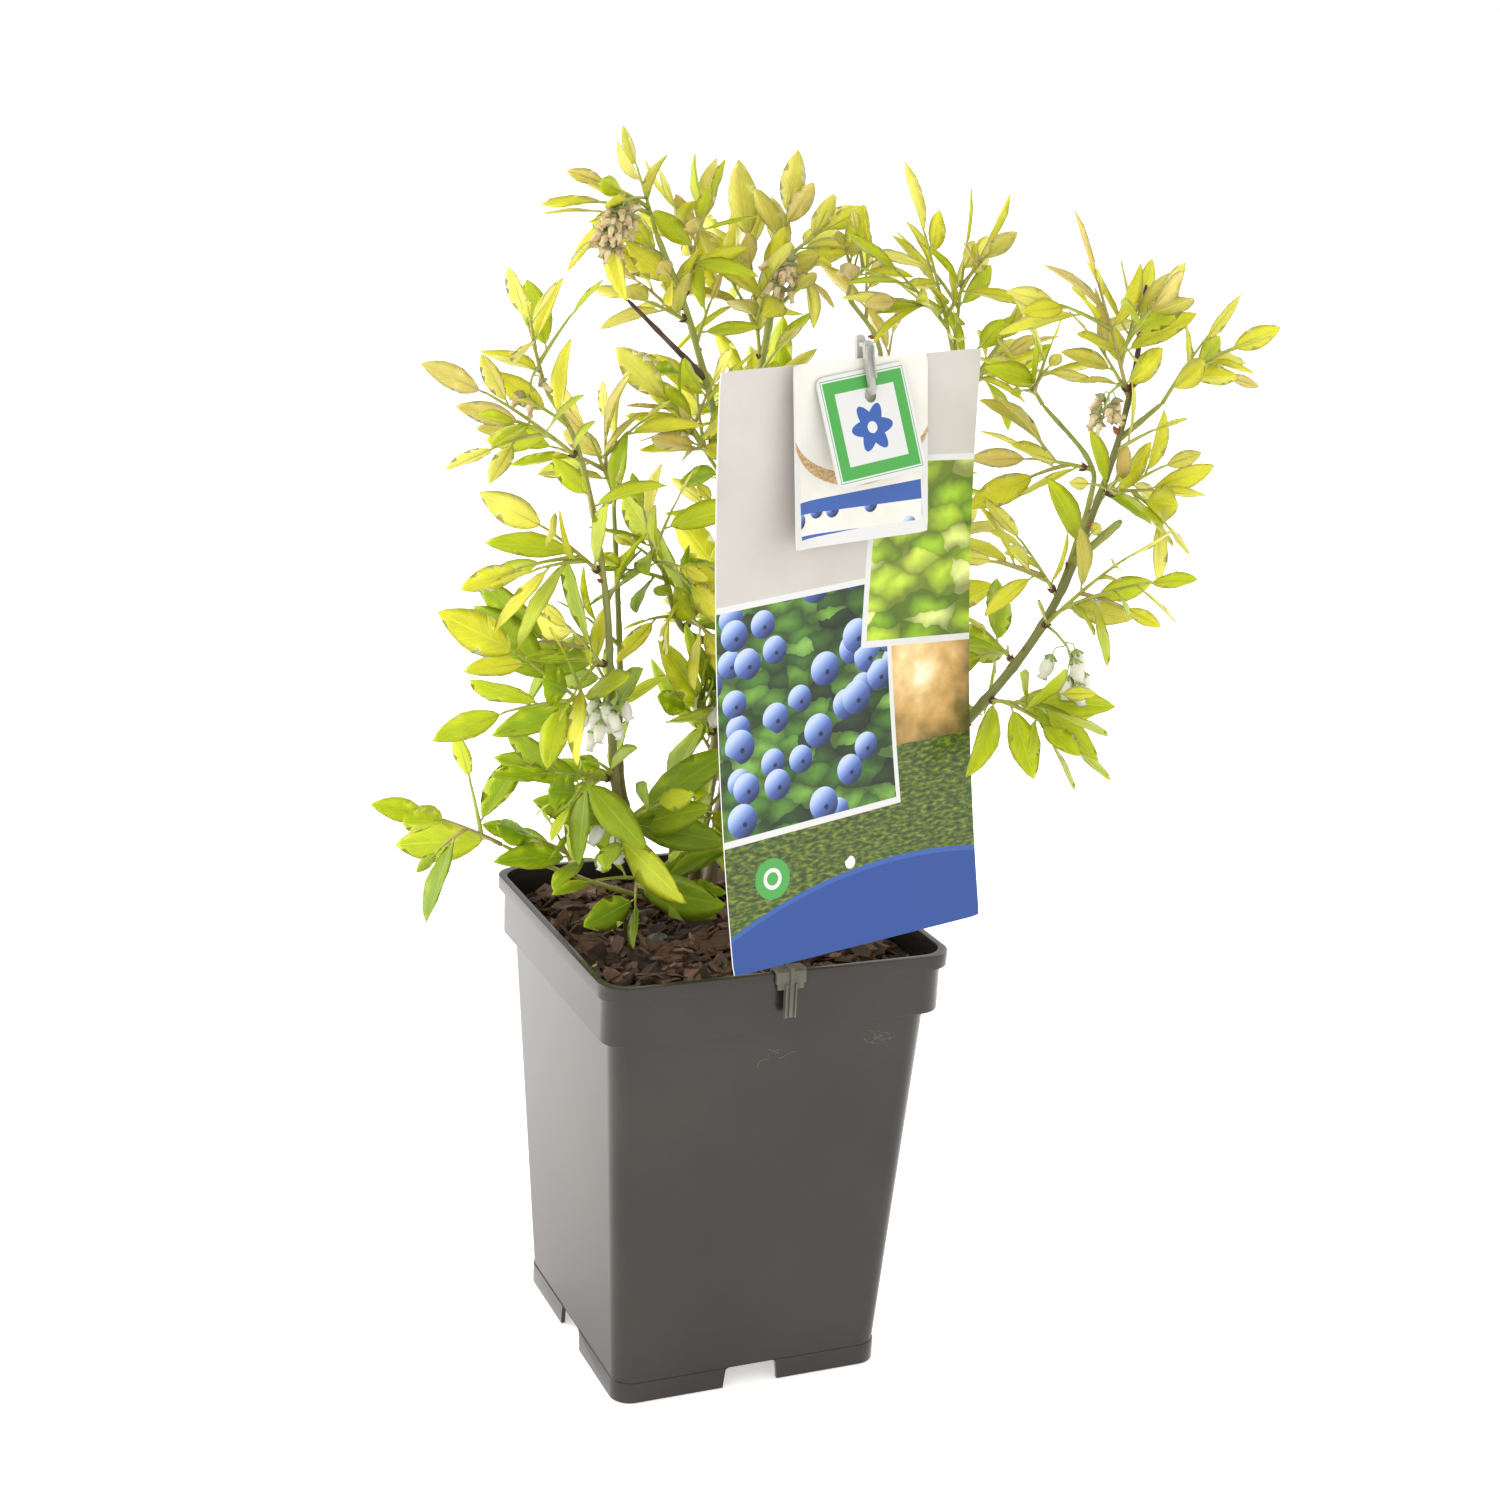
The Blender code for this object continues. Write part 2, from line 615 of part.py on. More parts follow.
def bezier(a, b, c, share):
    return a.lerp(b, share).lerp(b.lerp(c, share), share)


def twig_path(start, tip, bow, last_leaf):
    """A twig from start towards tip, bowed, and stopped where its last leaf begins."""
    reach = (tip - start).length
    side = (tip - start).cross(UP).normalized()
    middle = start.lerp(tip, .5) + UP * (bow[1] * TWIG_BOW * reach) + side * (bow[0] * reach)
    stop = 1 - last_leaf / reach
    parts = max(2, round(reach * stop / TWIG_STEP))
    return [bezier(start, middle, tip, stop * i / parts) for i in range(parts + 1)]


def twig_solid(path, grow=0.0, drop=0):
    return tube(path[drop:], taper(path, (TWIG_FOOT, TWIG_TIP), grow)[drop:], TWIG_SIDES)


def main_twig(space, root, tip, full):
    """A mass's own stem, seated on its limb, on the first bow that clears everything else."""
    last = last_leaf_length(full, (tip - root).length)
    for bow in BOWS_TRIED:
        path = seat(space, root, tip, lambda start: twig_path(start, tip, bow, last),
                    (TWIG_FOOT, TWIG_TIP), TWIG_SIDES)
        if path:
            return path, tip, last
    raise ValueError(f"no room for a twig to {tip}")


def side_twig(space, name, foot, tip, full):
    """A twig fused to the mass's stem at its foot, or none where the way is blocked."""
    last = last_leaf_length(full, (tip - foot).length)
    for bow in BOWS_TRIED:
        path = twig_path(foot, tip, bow, last)
        if not space.hits(*twig_solid(path, CLEAR), (name,)) and \
           not space.hits(*twig_solid(path, CLEAR, 1)):
            return path, tip, last
    return None


def leaf_solid(base, run, face, length, grow=0.0, inner=0.0):
    """Ten faces: a pointed blade folded along its middle, on a three-sided root."""
    side = run.cross(face).normalized()
    width = LEAF_WIDTH * length / 2 + grow
    tip = Vector((0, length + grow, -LEAF_DROOP * length))
    ridge = LEAF_SHAPE * tip.z
    top = ridge + LEAF_THICK + grow
    lift = top + width * math.tan(LEAF_FOLD)
    start = inner * length
    sunk = inner * tip.z
    half = ROOT_HALF + grow
    local = [Vector((-half, start, sunk + half)), Vector((half, start, sunk + half)),
             Vector((0, start, sunk - half)), Vector((-width, LEAF_SHAPE * length, lift)),
             Vector((width, LEAF_SHAPE * length, lift)), tip, Vector((0, LEAF_SHAPE * length, top))]
    verts = [base + side * v.x + run * v.y + face * v.z for v in local]
    faces = [(0, 1, 2), (0, 3, 6), (3, 5, 6), (5, 4, 6), (4, 1, 6), (1, 0, 6),
             (2, 3, 0), (2, 5, 3), (2, 4, 5), (2, 1, 4)]
    return verts, faces


def leaf_facing(run, axis):
    """A leaf's upper side looks up and towards the tip of its twig."""
    wish = UP * LEAF_FACES_UP + axis * LEAF_FACES_TIP
    return (wish - run * wish.dot(run)).normalized()


def place_leaf(space, name, parts, base, run, axis, length):
    """Add a leaf where it stays inside the crown and clear of everything else."""
    face = leaf_facing(run, axis)
    if outside(CROWN_LOW, CROWN_HIGH, base + run * length):
        return False
    if space.hits(*leaf_solid(base, run, face, length, CLEAR), (name,)) or \
       space.hits(*leaf_solid(base, run, face, length, CLEAR, ROOT_SHARE)):
        return False
    verts, faces = leaf_solid(base, run, face, length)
    parts.append((verts, faces))
    space.add(name, verts, faces)
    return True


def leaf_size(full, share):
    """Leaves are longest a little past the middle of their twig."""
    wave = math.sin(math.pi * (SIZE_FROM + SIZE_SPAN * share))
    return full * (SMALLEST_LEAF + (1 - SMALLEST_LEAF) * wave)


def last_leaf_length(full, reach):
    return min(full * LAST_LEAF, reach * LAST_LEAF_SHARE)


def leafy_twig(space, name, parts, path, full, draw):
    """Leaves turn round the twig by the golden angle, from its first node to its last."""
    total = sum((b - a).length for a, b in zip(path, path[1:]))
    turn = draw.uniform(0, math.tau)
    distance = FIRST_LEAF
    while distance < total - LEAF_PITCH / 2:
        share = distance / total
        base, axis = along(path, share)
        size = leaf_size(full, share) * draw.uniform(1 - SIZE_VARIES, 1 + SIZE_VARIES)
        spread = SPREAD_AT_FOOT + (SPREAD_AT_TIP - SPREAD_AT_FOOT) * share
        spread += draw.uniform(-SPREAD_VARIES, SPREAD_VARIES)
        side = axis.orthogonal().normalized()
        other = axis.cross(side)
        for extra in TURNS_TRIED:
            around = side * math.cos(turn + extra) + other * math.sin(turn + extra)
            run = axis * math.cos(spread) + around * math.sin(spread) - UP * LEAF_SAG
            if place_leaf(space, name, parts, base, run.normalized(), axis, size):
                break
        turn += GOLDEN_ANGLE
        distance += LEAF_PITCH * draw.uniform(1 - SIZE_VARIES, 1 + SIZE_VARIES)


def grow_twigs(space, paths):
    """The main twig and side twigs of every mass, before any leaf takes their room."""
    twigs = {}
    for name, (carrier, share, full, tips) in MASSES.items():
        goals = [Vector(tip) for tip in tips]
        root, _ = along(paths[carrier], share)
        found = [main_twig(space, root, goals[0], full)]
        space.add(name, *twig_solid(found[0][0]))
        for index, goal in enumerate(goals[1:]):
            foot, _ = along(found[0][0], FORKS_AT[index])
            twig = side_twig(space, name, foot, goal, full)
            if twig:
                found.append(twig)
                space.add(name, *twig_solid(twig[0]))
        twigs[name] = found
    for index, (name, found) in enumerate(twigs.items()):
        draw = random.Random(SEED * index)
        full = MASSES[name][2]
        twig = offshoot(space, name, found[0], full, draw) if len(found) < TWIGS_ENOUGH else None
        if twig:
            found.append(twig)
            space.add(name, *twig_solid(twig[0]))
    return twigs


def offshoot(space, name, main, full, draw):
    """One more side twig, turned to whichever side of the main twig has room for it."""
    path, goal, _ = main
    foot, axis = along(path, OFFSHOOT_AT)
    reach = OFFSHOOT_REACH * (goal - foot).length + full / 2
    side = axis.orthogonal().normalized()
    other = axis.cross(side)
    turn = draw.uniform(0, math.tau)
    for _ in range(OFFSHOOTS_TRIED):
        turn += GOLDEN_ANGLE
        around = side * math.cos(turn) + other * math.sin(turn)
        tip = foot + reach * (axis * math.cos(OFFSHOOT_SPREAD) + around * math.sin(OFFSHOOT_SPREAD))
        twig = None if outside(CROWN_LOW, CROWN_HIGH, tip) else side_twig(space, name, foot, tip, full)
        if twig:
            return twig
    return None


def build_masses(space, paths):
    twigs = grow_twigs(space, paths)
    parts = {name: [twig_solid(path) for path, _, _ in found] for name, found in twigs.items()}
    for name, found in twigs.items():
        for path, goal, last in found:
            run = (goal - path[-1]).normalized()
            place_leaf(space, name, parts[name], path[-1] - run * TWIG_TIP, run, run, last)
    for index, (name, found) in enumerate(twigs.items()):
        draw = random.Random(SEED + index)
        for path, _, _ in found:
            leafy_twig(space, name, parts[name], path, MASSES[name][2], draw)
    for name, solids in parts.items():
        fuse(name, solids)


def fuse(name, solids):
    """Join a mass's twigs and leaves into one body with a union on a collection."""
    body = add_object(name, *solids[0], "leaf")
    group = bpy.data.collections.new(name + "_parts")
    bpy.context.scene.collection.children.link(group)
    for index, (verts, faces) in enumerate(solids[1:]):
        piece = add_object(f"{name}_{index}", verts, faces, "leaf")
        bpy.context.scene.collection.objects.unlink(piece)
        group.objects.link(piece)
    modifier = body.modifiers.new("union", "BOOLEAN")
    modifier.operation = "UNION"
    modifier.operand_type = "COLLECTION"
    modifier.collection = group
    modifier.solver = "EXACT"
    apply_modifiers(body)
    for piece in list(group.objects):
        bpy.data.objects.remove(piece, do_unlink=True)
    bpy.data.collections.remove(group)
    body.data.materials.clear()
    body.data.materials.append(finish(name, "leaf"))


def main():
    clear_scene()
    space = Space()
    for thing in (build_pot(), build_medium(), build_card(), build_fold(), build_tag(),
                  build_holder()):
        space.add_object(thing)
    paths = {}
    build_canes(space, paths)
    build_boughs(space, paths)
    build_masses(space, paths)


main()
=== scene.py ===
# Highbush blueberry, a young bush in a square nursery pot, with its label card on a plastic holder.
# Metres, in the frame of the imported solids: +Z up, the pot's front towards -Y, its foot on the ground.
import math
import random

import bpy
import numpy as np
from mathutils import Matrix, Vector, noise
from mathutils.bvhtree import BVHTree


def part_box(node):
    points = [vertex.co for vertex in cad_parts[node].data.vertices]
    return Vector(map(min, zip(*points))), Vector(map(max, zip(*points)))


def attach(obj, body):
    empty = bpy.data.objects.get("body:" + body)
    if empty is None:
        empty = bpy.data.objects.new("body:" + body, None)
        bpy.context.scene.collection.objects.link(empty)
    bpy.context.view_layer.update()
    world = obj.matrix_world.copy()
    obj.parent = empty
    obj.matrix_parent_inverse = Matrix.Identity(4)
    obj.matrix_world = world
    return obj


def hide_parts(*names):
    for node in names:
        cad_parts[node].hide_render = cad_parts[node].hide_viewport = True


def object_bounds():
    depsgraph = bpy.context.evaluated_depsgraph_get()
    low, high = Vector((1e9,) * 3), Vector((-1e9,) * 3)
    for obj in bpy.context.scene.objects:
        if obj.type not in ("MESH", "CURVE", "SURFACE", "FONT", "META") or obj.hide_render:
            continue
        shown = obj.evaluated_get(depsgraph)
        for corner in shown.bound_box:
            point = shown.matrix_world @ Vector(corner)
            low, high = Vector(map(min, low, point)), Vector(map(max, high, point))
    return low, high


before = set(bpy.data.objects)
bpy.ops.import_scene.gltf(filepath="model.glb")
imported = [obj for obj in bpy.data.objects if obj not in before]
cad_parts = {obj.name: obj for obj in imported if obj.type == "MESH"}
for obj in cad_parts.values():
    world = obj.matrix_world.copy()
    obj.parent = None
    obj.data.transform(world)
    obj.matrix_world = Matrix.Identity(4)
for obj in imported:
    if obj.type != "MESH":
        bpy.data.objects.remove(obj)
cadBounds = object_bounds()
potLow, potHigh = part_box("pot")

up = Vector((0, 0, 1))
front = Vector((-.38, -.92, 0))
goldenAngle = math.radians(137.5)
gap = 0.0003


# Tools that every piece shares

def dropSelection():
    if bpy.context.object and bpy.context.object.mode != "OBJECT":
        bpy.ops.object.mode_set(mode="OBJECT")
    bpy.ops.object.select_all(action="DESELECT")


def pick(*pieces):
    dropSelection()
    for piece in pieces:
        piece.select_set(True)
    bpy.context.view_layer.objects.active = pieces[-1]


def added(name):
    piece = bpy.context.object
    piece.name = name
    piece.data.name = name
    return piece


def applyAll(piece):
    pick(piece)
    for modifier in list(piece.modifiers):
        bpy.ops.object.modifier_apply(modifier=modifier.name)
    bpy.ops.object.transform_apply(location=True, rotation=True, scale=True)


def cutWith(piece, cutters, operation="DIFFERENCE"):
    for cutter in cutters:
        modifier = piece.modifiers.new("cut", "BOOLEAN")
        modifier.object = cutter
        modifier.operation = operation
        modifier.solver = "EXACT"
    applyAll(piece)
    for cutter in cutters:
        bpy.data.objects.remove(cutter, do_unlink=True)


def bevelled(piece, width, segments, angle=30):
    modifier = piece.modifiers.new("edges", "BEVEL")
    modifier.width = width
    modifier.segments = segments
    modifier.limit_method = "ANGLE"
    modifier.angle_limit = math.radians(angle)
    applyAll(piece)


def smoothed(piece, angle=35):
    pick(piece)
    bpy.ops.object.shade_smooth_by_angle(angle=math.radians(angle))


def meshPiece(name, verts, faces, smooth=True, spots=()):
    mesh = bpy.data.meshes.new(name)
    mesh.from_pydata([tuple(v) for v in verts], [], faces)
    mesh.polygons.foreach_set("use_smooth", [smooth] * len(mesh.polygons))
    if spots:
        layer = mesh.uv_layers.new(name="blade")
        layer.data.foreach_set("uv", [part for loop in mesh.loops for part in spots[loop.vertex_index]])
    piece = bpy.data.objects.new(name, mesh)
    bpy.context.scene.collection.objects.link(piece)
    return piece


def finishPiece(piece, material, nodes=()):
    if material:
        piece.data.materials.clear()
        piece.data.materials.append(material)
    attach(piece, "root")
    if nodes:
        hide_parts(*nodes)
    return piece


# Shader building

def newMaterial(name, roughness=.5, **sockets):
    material = bpy.data.materials.new(name)
    material.use_nodes = True
    shader = material.node_tree.nodes["Principled BSDF"]
    shader.inputs["Roughness"].default_value = roughness
    for key, value in sockets.items():
        shader.inputs[key.replace("_", " ")].default_value = value
    return material


def addNode(tree, kind, inputs=(), **settings):
    node = tree.nodes.new("ShaderNode" + kind)
    for key, value in settings.items():
        setattr(node, key, value)
    for index, value in enumerate(inputs):
        if isinstance(value, bpy.types.NodeSocket):
            tree.links.new(value, node.inputs[index])
        elif value is not None:
            node.inputs[index].default_value = value
    return node


def math2(tree, operation, a, b=None):
    return addNode(tree, "Math", (a, b), operation=operation).outputs[0]


def ramp(tree, factor, stops):
    node = addNode(tree, "ValToRGB", (factor,))
    elements = node.color_ramp.elements
    while len(elements) < len(stops):
        elements.new(1)
    for element, (position, colour) in zip(elements, stops):
        element.position = position
        element.color = (*colour, 1)
    return node.outputs[0]


def noiseOn(tree, place, scale, detail=3, stretch=(1, 1, 1)):
    if stretch != (1, 1, 1):
        place = addNode(tree, "Mapping", (place, None, None, stretch)).outputs[0]
    return addNode(tree, "TexNoise", (place, None, scale, detail)).outputs[0]


mottle = {"from": .3, "span": .4, "fineTimes": 4, "fineDetail": 3}


def mottled(name, colours, scale, roughness=.5, bump=0.0, bumpScale=None, stretch=(1, 1, 1),
            gloss=.12, detail=4, **sockets):
    material = newMaterial(name, roughness, **sockets)
    tree = material.node_tree
    shader = tree.nodes["Principled BSDF"]
    place = addNode(tree, "TexCoord").outputs["Object"]
    cloud = noiseOn(tree, place, scale, detail, stretch)
    share = [mottle["from"] + mottle["span"] * i / (len(colours) - 1) for i in range(len(colours))]
    tree.links.new(ramp(tree, cloud, list(zip(share, colours))), shader.inputs["Base Color"])
    fine = noiseOn(tree, place, bumpScale or scale * mottle["fineTimes"], mottle["fineDetail"], stretch)
    rough = addNode(tree, "MapRange", (fine, 0, 1, roughness - gloss, roughness + gloss))
    tree.links.new(rough.outputs[0], shader.inputs["Roughness"])
    if bump:
        relief = addNode(tree, "Bump", (1, bump, None, fine))
        tree.links.new(relief.outputs[0], shader.inputs["Normal"])
    return material


# The pot: one moulded shell, from its floor out, up over the rim and down inside

potShape = {
    "wall": .0018, "corner": .0085, "cornerSteps": 10,
    "bodyTop": .0685, "bottom": .05915, "lipHeight": .006, "lipOut": .0021,
    "collarBottom": .0728, "collarHeight": .0255, "collarStep": .0015,
    "footHeight": .009, "footOut": .0004, "floorUnder": .0094, "floorThick": .0018,
    "edge": .00035, "notchWidth": .025, "notchSlant": .0012, "notchRound": .0014,
    "centreFoot": .009, "drainRadius": .0045, "drainReach": .030,
}


def innerHalf(z):
    s = potShape
    step = potHigh.z - s["collarHeight"]
    if z > step:
        return s["collarBottom"] - s["wall"]
    share = (z - s["footHeight"]) / (step - s["footHeight"])
    return s["bottom"] + (s["bodyTop"] - s["bottom"]) * share - s["wall"]


def buildPot():
    s = potShape
    rim, height = potHigh.x, potHigh.z
    step, lip, wall = height - s["collarHeight"], height - s["lipHeight"], s["wall"]
    foot, collarTop = s["bottom"] + s["footOut"], rim - s["lipOut"]
    floorTop = s["floorUnder"] + s["floorThick"]
    profile = [(foot - wall, s["floorUnder"]), (foot - wall, 0), (foot, 0), (foot, s["footHeight"]),
               (s["bottom"], s["footHeight"]), (s["bodyTop"], step - s["collarStep"]),
               (s["collarBottom"], step), (collarTop, lip), (rim, lip), (rim, height),
               (collarTop - wall / 2, height), (s["collarBottom"] - wall, step + s["collarStep"]),
               (s["bodyTop"] - wall, step), (innerHalf(floorTop), floorTop)]
    dropSelection()
    bpy.ops.mesh.primitive_plane_add(size=2 * profile[0][0], location=(0, 0, profile[0][1]))
    pot = added("pot_shell")
    bpy.ops.object.mode_set(mode="EDIT")
    bpy.ops.mesh.bevel(offset=s["corner"], segments=s["cornerSteps"], affect="VERTICES")
    for (half, z), (nextHalf, nextZ) in zip(profile, profile[1:]):
        bpy.ops.mesh.extrude_region_move(TRANSFORM_OT_translate={"value": (0, 0, nextZ - z)})
        bpy.ops.transform.resize(value=(nextHalf / half, nextHalf / half, 1))
    bpy.ops.mesh.select_all(action="SELECT")
    bpy.ops.mesh.normals_make_consistent(inside=False)
    bpy.ops.object.mode_set(mode="OBJECT")
    bevelled(pot, s["edge"], 3)
    cutters = []
    for turn in (0, math.pi / 2):
        bpy.ops.mesh.primitive_cube_add(size=1, location=(0, 0, s["footHeight"] / 2 - wall / 2))
        bpy.ops.transform.resize(value=(3 * foot, s["notchWidth"], s["footHeight"] + wall))
        bpy.ops.transform.rotate(value=turn, orient_axis="Z", center_override=(0, 0, 0))
        cutters.append(added("notch"))
        applyAll(cutters[-1])
        for vertex in cutters[-1].data.vertices:
            if vertex.co.z > 0:
                across = 0 if turn else 1
                vertex.co[across] -= math.copysign(s["notchSlant"], vertex.co[across])
        bevelled(cutters[-1], s["notchRound"], 4)
    cutWith(pot, cutters)
    tall = s["floorUnder"] + wall / 2
    bpy.ops.mesh.primitive_cylinder_add(vertices=32, radius=s["centreFoot"], depth=tall,
                                        location=(0, 0, tall / 2))
    cutWith(pot, [added("centre_foot")], "UNION")
    drains = []
    for index in range(4):
        angle = math.pi / 2 * index + math.pi / 4
        place = (s["drainReach"] * math.cos(angle), s["drainReach"] * math.sin(angle), s["floorUnder"])
        bpy.ops.mesh.primitive_cylinder_add(vertices=24, radius=s["drainRadius"], depth=4 * wall,
                                            location=place)
        drains.append(added("drain"))
    cutWith(pot, drains)
    smoothed(pot)
    return finishPiece(pot, materials["pot"], ["pot"])


# The bark that tops the pot: a rough bed with loose flakes

barkShape = {
    "edge": .1765, "rise": .003, "cells": 110, "roughness": .0011, "coarse": 160, "fine": 420,
    "fineShare": .6, "lift": .0012, "deep": .003, "corner": .0106, "seed": 5,
    "flakes": 1400, "kinds": {"dark": 28, "brown": 36, "red": 24, "tan": 12}, "lengths": (.006, .020),
    "small": (.8, .5), "rimClear": .0016, "inset": .40, "round": .006, "layers": .0075, "edgeSlope": .5,
    "tilt": .42, "steep": (.85, 1.8), "roll": .4, "wide": (.38, .80), "thick": (.0005, .0013),
    "corners": (5, 6, 6, 7), "uneven": .25, "ragged": (.75, 1.05), "bend": .12, "crown": .62,
    "stubStep": .0025,
    "stub": ([(.004, .030, .1785), (-.012, .022, .1830), (-.030, .0134, .1855)], .0030, .0024),
    "stone": ((-.031, -.0140, .1845), (.0052, .0042, .0034)), "stoneLump": (.22, 1.3), "scrapKind": 3,
    "scraps": [((.0238, -.0560, .1885), .0085, 35), ((-.0640, -.0330, .1850), .0035, 120),
               ((.040, .045, .1850), .006, 260)],
}


def soilHeight(x, y):
    half = max(abs(x), abs(y)) / potHigh.x
    return barkShape["edge"] + barkShape["rise"] * (1 - half * half)


def intoCorner(x, y, half, corner):
    inner = half - corner
    dx, dy = abs(x) - inner, abs(y) - inner
    if dx > 0 and dy > 0:
        reach = math.hypot(dx, dy)
        share = min(1, corner / reach)
        return math.copysign(inner + dx * share, x), math.copysign(inner + dy * share, y)
    return x, y


def buildBed():
    b = barkShape
    half = innerHalf(potHigh.z) - gap
    bpy.ops.mesh.primitive_grid_add(x_subdivisions=b["cells"], y_subdivisions=b["cells"], size=2 * half)
    bed = added("bark_bed")
    for vertex in bed.data.vertices:
        x, y, _ = insideWall(vertex.co)
        lump = noise.noise(Vector((x, y, 0)) * b["coarse"])
        lump += b["fineShare"] * noise.noise(Vector((x, y, 3)) * b["fine"])
        vertex.co = (x, y, soilHeight(x, y) + b["lift"] + b["roughness"] * lump)
    thick = bed.modifiers.new("thick", "SOLIDIFY")
    thick.thickness = b["deep"]
    thick.offset = -1
    applyAll(bed)
    for vertex in bed.data.vertices:
        vertex.co = insideWall(vertex.co)
    smoothed(bed, 60)
    return finishPiece(bed, materials["soil"])


def flake(draw, long):
    b = barkShape
    wide = long * draw.uniform(*b["wide"])
    thick = draw.uniform(*b["thick"])
    count = draw.choice(b["corners"])
    ring = []
    for k in range(count):
        angle = math.tau * (k + draw.uniform(-b["uneven"], b["uneven"])) / count
        reach = draw.uniform(*b["ragged"])
        ring.append((long / 2 * reach * math.cos(angle), wide / 2 * reach * math.sin(angle)))
    bend = draw.uniform(-b["bend"], b["bend"]) / long
    verts = [Vector((x, y, side * thick / 2 + bend * x * x * 4)) for side in (-1, 1) for x, y in ring]
    verts += [Vector((0, 0, side * thick * b["crown"])) for side in (-1, 1)]
    faces = []
    for k in range(count):
        j = (k + 1) % count
        faces += [(k, j, count + j, count + k), (j, k, 2 * count), (count + k, count + j, 2 * count + 1)]
    return verts, faces


def insideWall(point):
    half = innerHalf(potHigh.z) - gap
    x, y = (max(-half, min(half, part)) for part in point[:2])
    x, y = intoCorner(x, y, half, barkShape["corner"])
    return Vector((x, y, point.z))


def buildFlakes():
    b = barkShape
    draw = random.Random(b["seed"])
    half = innerHalf(potHigh.z) - b["rimClear"]
    kinds, chances = list(b["kinds"]), list(b["kinds"].values())
    heaps = {kind: ([], []) for kind in kinds}
    for index in range(b["flakes"]):
        long = draw.uniform(*b["lengths"]) * (1 if draw.random() < b["small"][0] else b["small"][1])
        edge = half - long * b["inset"]
        x, y = intoCorner(draw.uniform(-edge, edge), draw.uniform(-edge, edge), edge, b["round"])
        level = index / b["flakes"]
        tilt = draw.gauss(0, b["tilt"]) * (1 if draw.random() < b["steep"][0] else b["steep"][1])
        turn = Matrix.Rotation(draw.uniform(0, math.tau), 4, "Z") @ Matrix.Rotation(tilt, 4, "Y") \
            @ Matrix.Rotation(draw.gauss(0, b["roll"]), 4, "X")
        slope = 1 - b["edgeSlope"] * (max(abs(x), abs(y)) / half) ** 4
        lift = b["lift"] + b["layers"] * level * draw.uniform(.5, 1) * slope
        place = Matrix.Translation((x, y, soilHeight(x, y) + lift)) @ turn
        kind = draw.choices(kinds, chances)[0]
        verts, faces = flake(draw, long)
        addShape(heaps[kind], [insideWall(place @ v) for v in verts], faces)
    for kind, (verts, faces) in heaps.items():
        heap = meshPiece("bark_flakes_" + kind, verts, faces, False)
        finishPiece(heap, materials["flake_" + kind])


def buildScraps():
    b = barkShape
    points, foot, tip = b["stub"]
    path = spline(points, b["stubStep"])
    stub = meshPiece("old_stub", *barkTube("old_stub", path, foot, tip))
    finishPiece(stub, materials["oldWood"])
    dropSelection()
    bpy.ops.mesh.primitive_ico_sphere_add(subdivisions=3, radius=1)
    stone = added("stone")
    place, size = b["stone"]
    high, often = b["stoneLump"]
    for vertex in stone.data.vertices:
        lump = 1 + high * noise.noise(vertex.co * often)
        vertex.co = [place[i] + size[i] * vertex.co[i] * lump for i in range(3)]
    smoothed(stone, 25)
    finishPiece(stone, materials["stone"])
    scraps = ([], [], [])
    verts, faces, spots = leafBlade(b["scrapKind"])
    for place, size, turn in b["scraps"]:
        turned = Matrix.Rotation(math.radians(turn), 4, "Z") @ Matrix.Scale(size, 4)
        addShape(scraps, verts, faces, Matrix.Translation(place) @ turned, spots)
    heap = meshPiece("leaf_scraps", scraps[0], scraps[1], True, scraps[2])
    finishPiece(heap, materials["leaf_pale"])


# Lint that clings to the pot's front: short wandering fibres

lintShape = {
    "spots": [((-.0013, .1521), 4, .006), ((.0470, .1535), 7, .008)], "radius": .00005, "seed": 3,
    "points": 9, "step": .0011, "wander": .7, "off": .0002, "scatter": (.6, .25), "flat": .6,
}


def buildLint():
    f = lintShape
    draw = random.Random(f["seed"])
    heap = ([], [])
    wide, high = f["scatter"]
    for (x, z), count, spread in f["spots"]:
        for _ in range(count):
            aside, above = draw.uniform(-spread, spread) * wide, draw.uniform(-spread, spread) * high
            at = Vector((x + aside, 0, z + above))
            heading = draw.uniform(0, math.pi)
            path = []
            for _ in range(f["points"]):
                path.append(Vector((at.x, -innerHalf(at.z) - potShape["wall"] - f["off"], at.z)))
                heading += draw.uniform(-f["wander"], f["wander"])
                at += Vector((math.cos(heading), 0, math.sin(heading) * f["flat"])) * f["step"]
            addShape(heap, *tube(path, [f["radius"]] * len(path), 3))
    finishPiece(meshPiece("lint", *heap), materials["lint"])


def addShape(heap, verts, faces, place=None, spots=()):
    start = len(heap[0])
    heap[0].extend(place @ v if place else v for v in verts)
    heap[1].extend(tuple(start + i for i in face) for face in faces)
    if spots:
        heap[2].extend(spots)


# The label: a card, a folded leaf and a square tag, in a frame of their own

labelPlace = {
    "centre": Vector((.0208, -.0797, .3167)), "turn": 11.9, "lean": 3.2, "roll": 2.3,
    "size": (.120, .228), "bow": .007, "paper": .0006, "punch": (-.002, -.0805), "punchRadius": .0025,
    "foldSize": (.064, .068), "foldTop": (.001, .1145), "foldCurl": .0035, "curlFrom": .2,
    "tagSize": (.041, .041), "tagHole": .0026, "tagTop": (.0005, .1105), "tagTurn": 5.3, "tagLean": 13,
    "hookAcross": .0035, "hookRise": .009, "hookDrop": .013, "stemParts": 24,
    "cardMesh": ((30, 57), .0012), "foldMesh": ((16, 17), .0015), "tagMesh": ((40, 40), .0032),
}


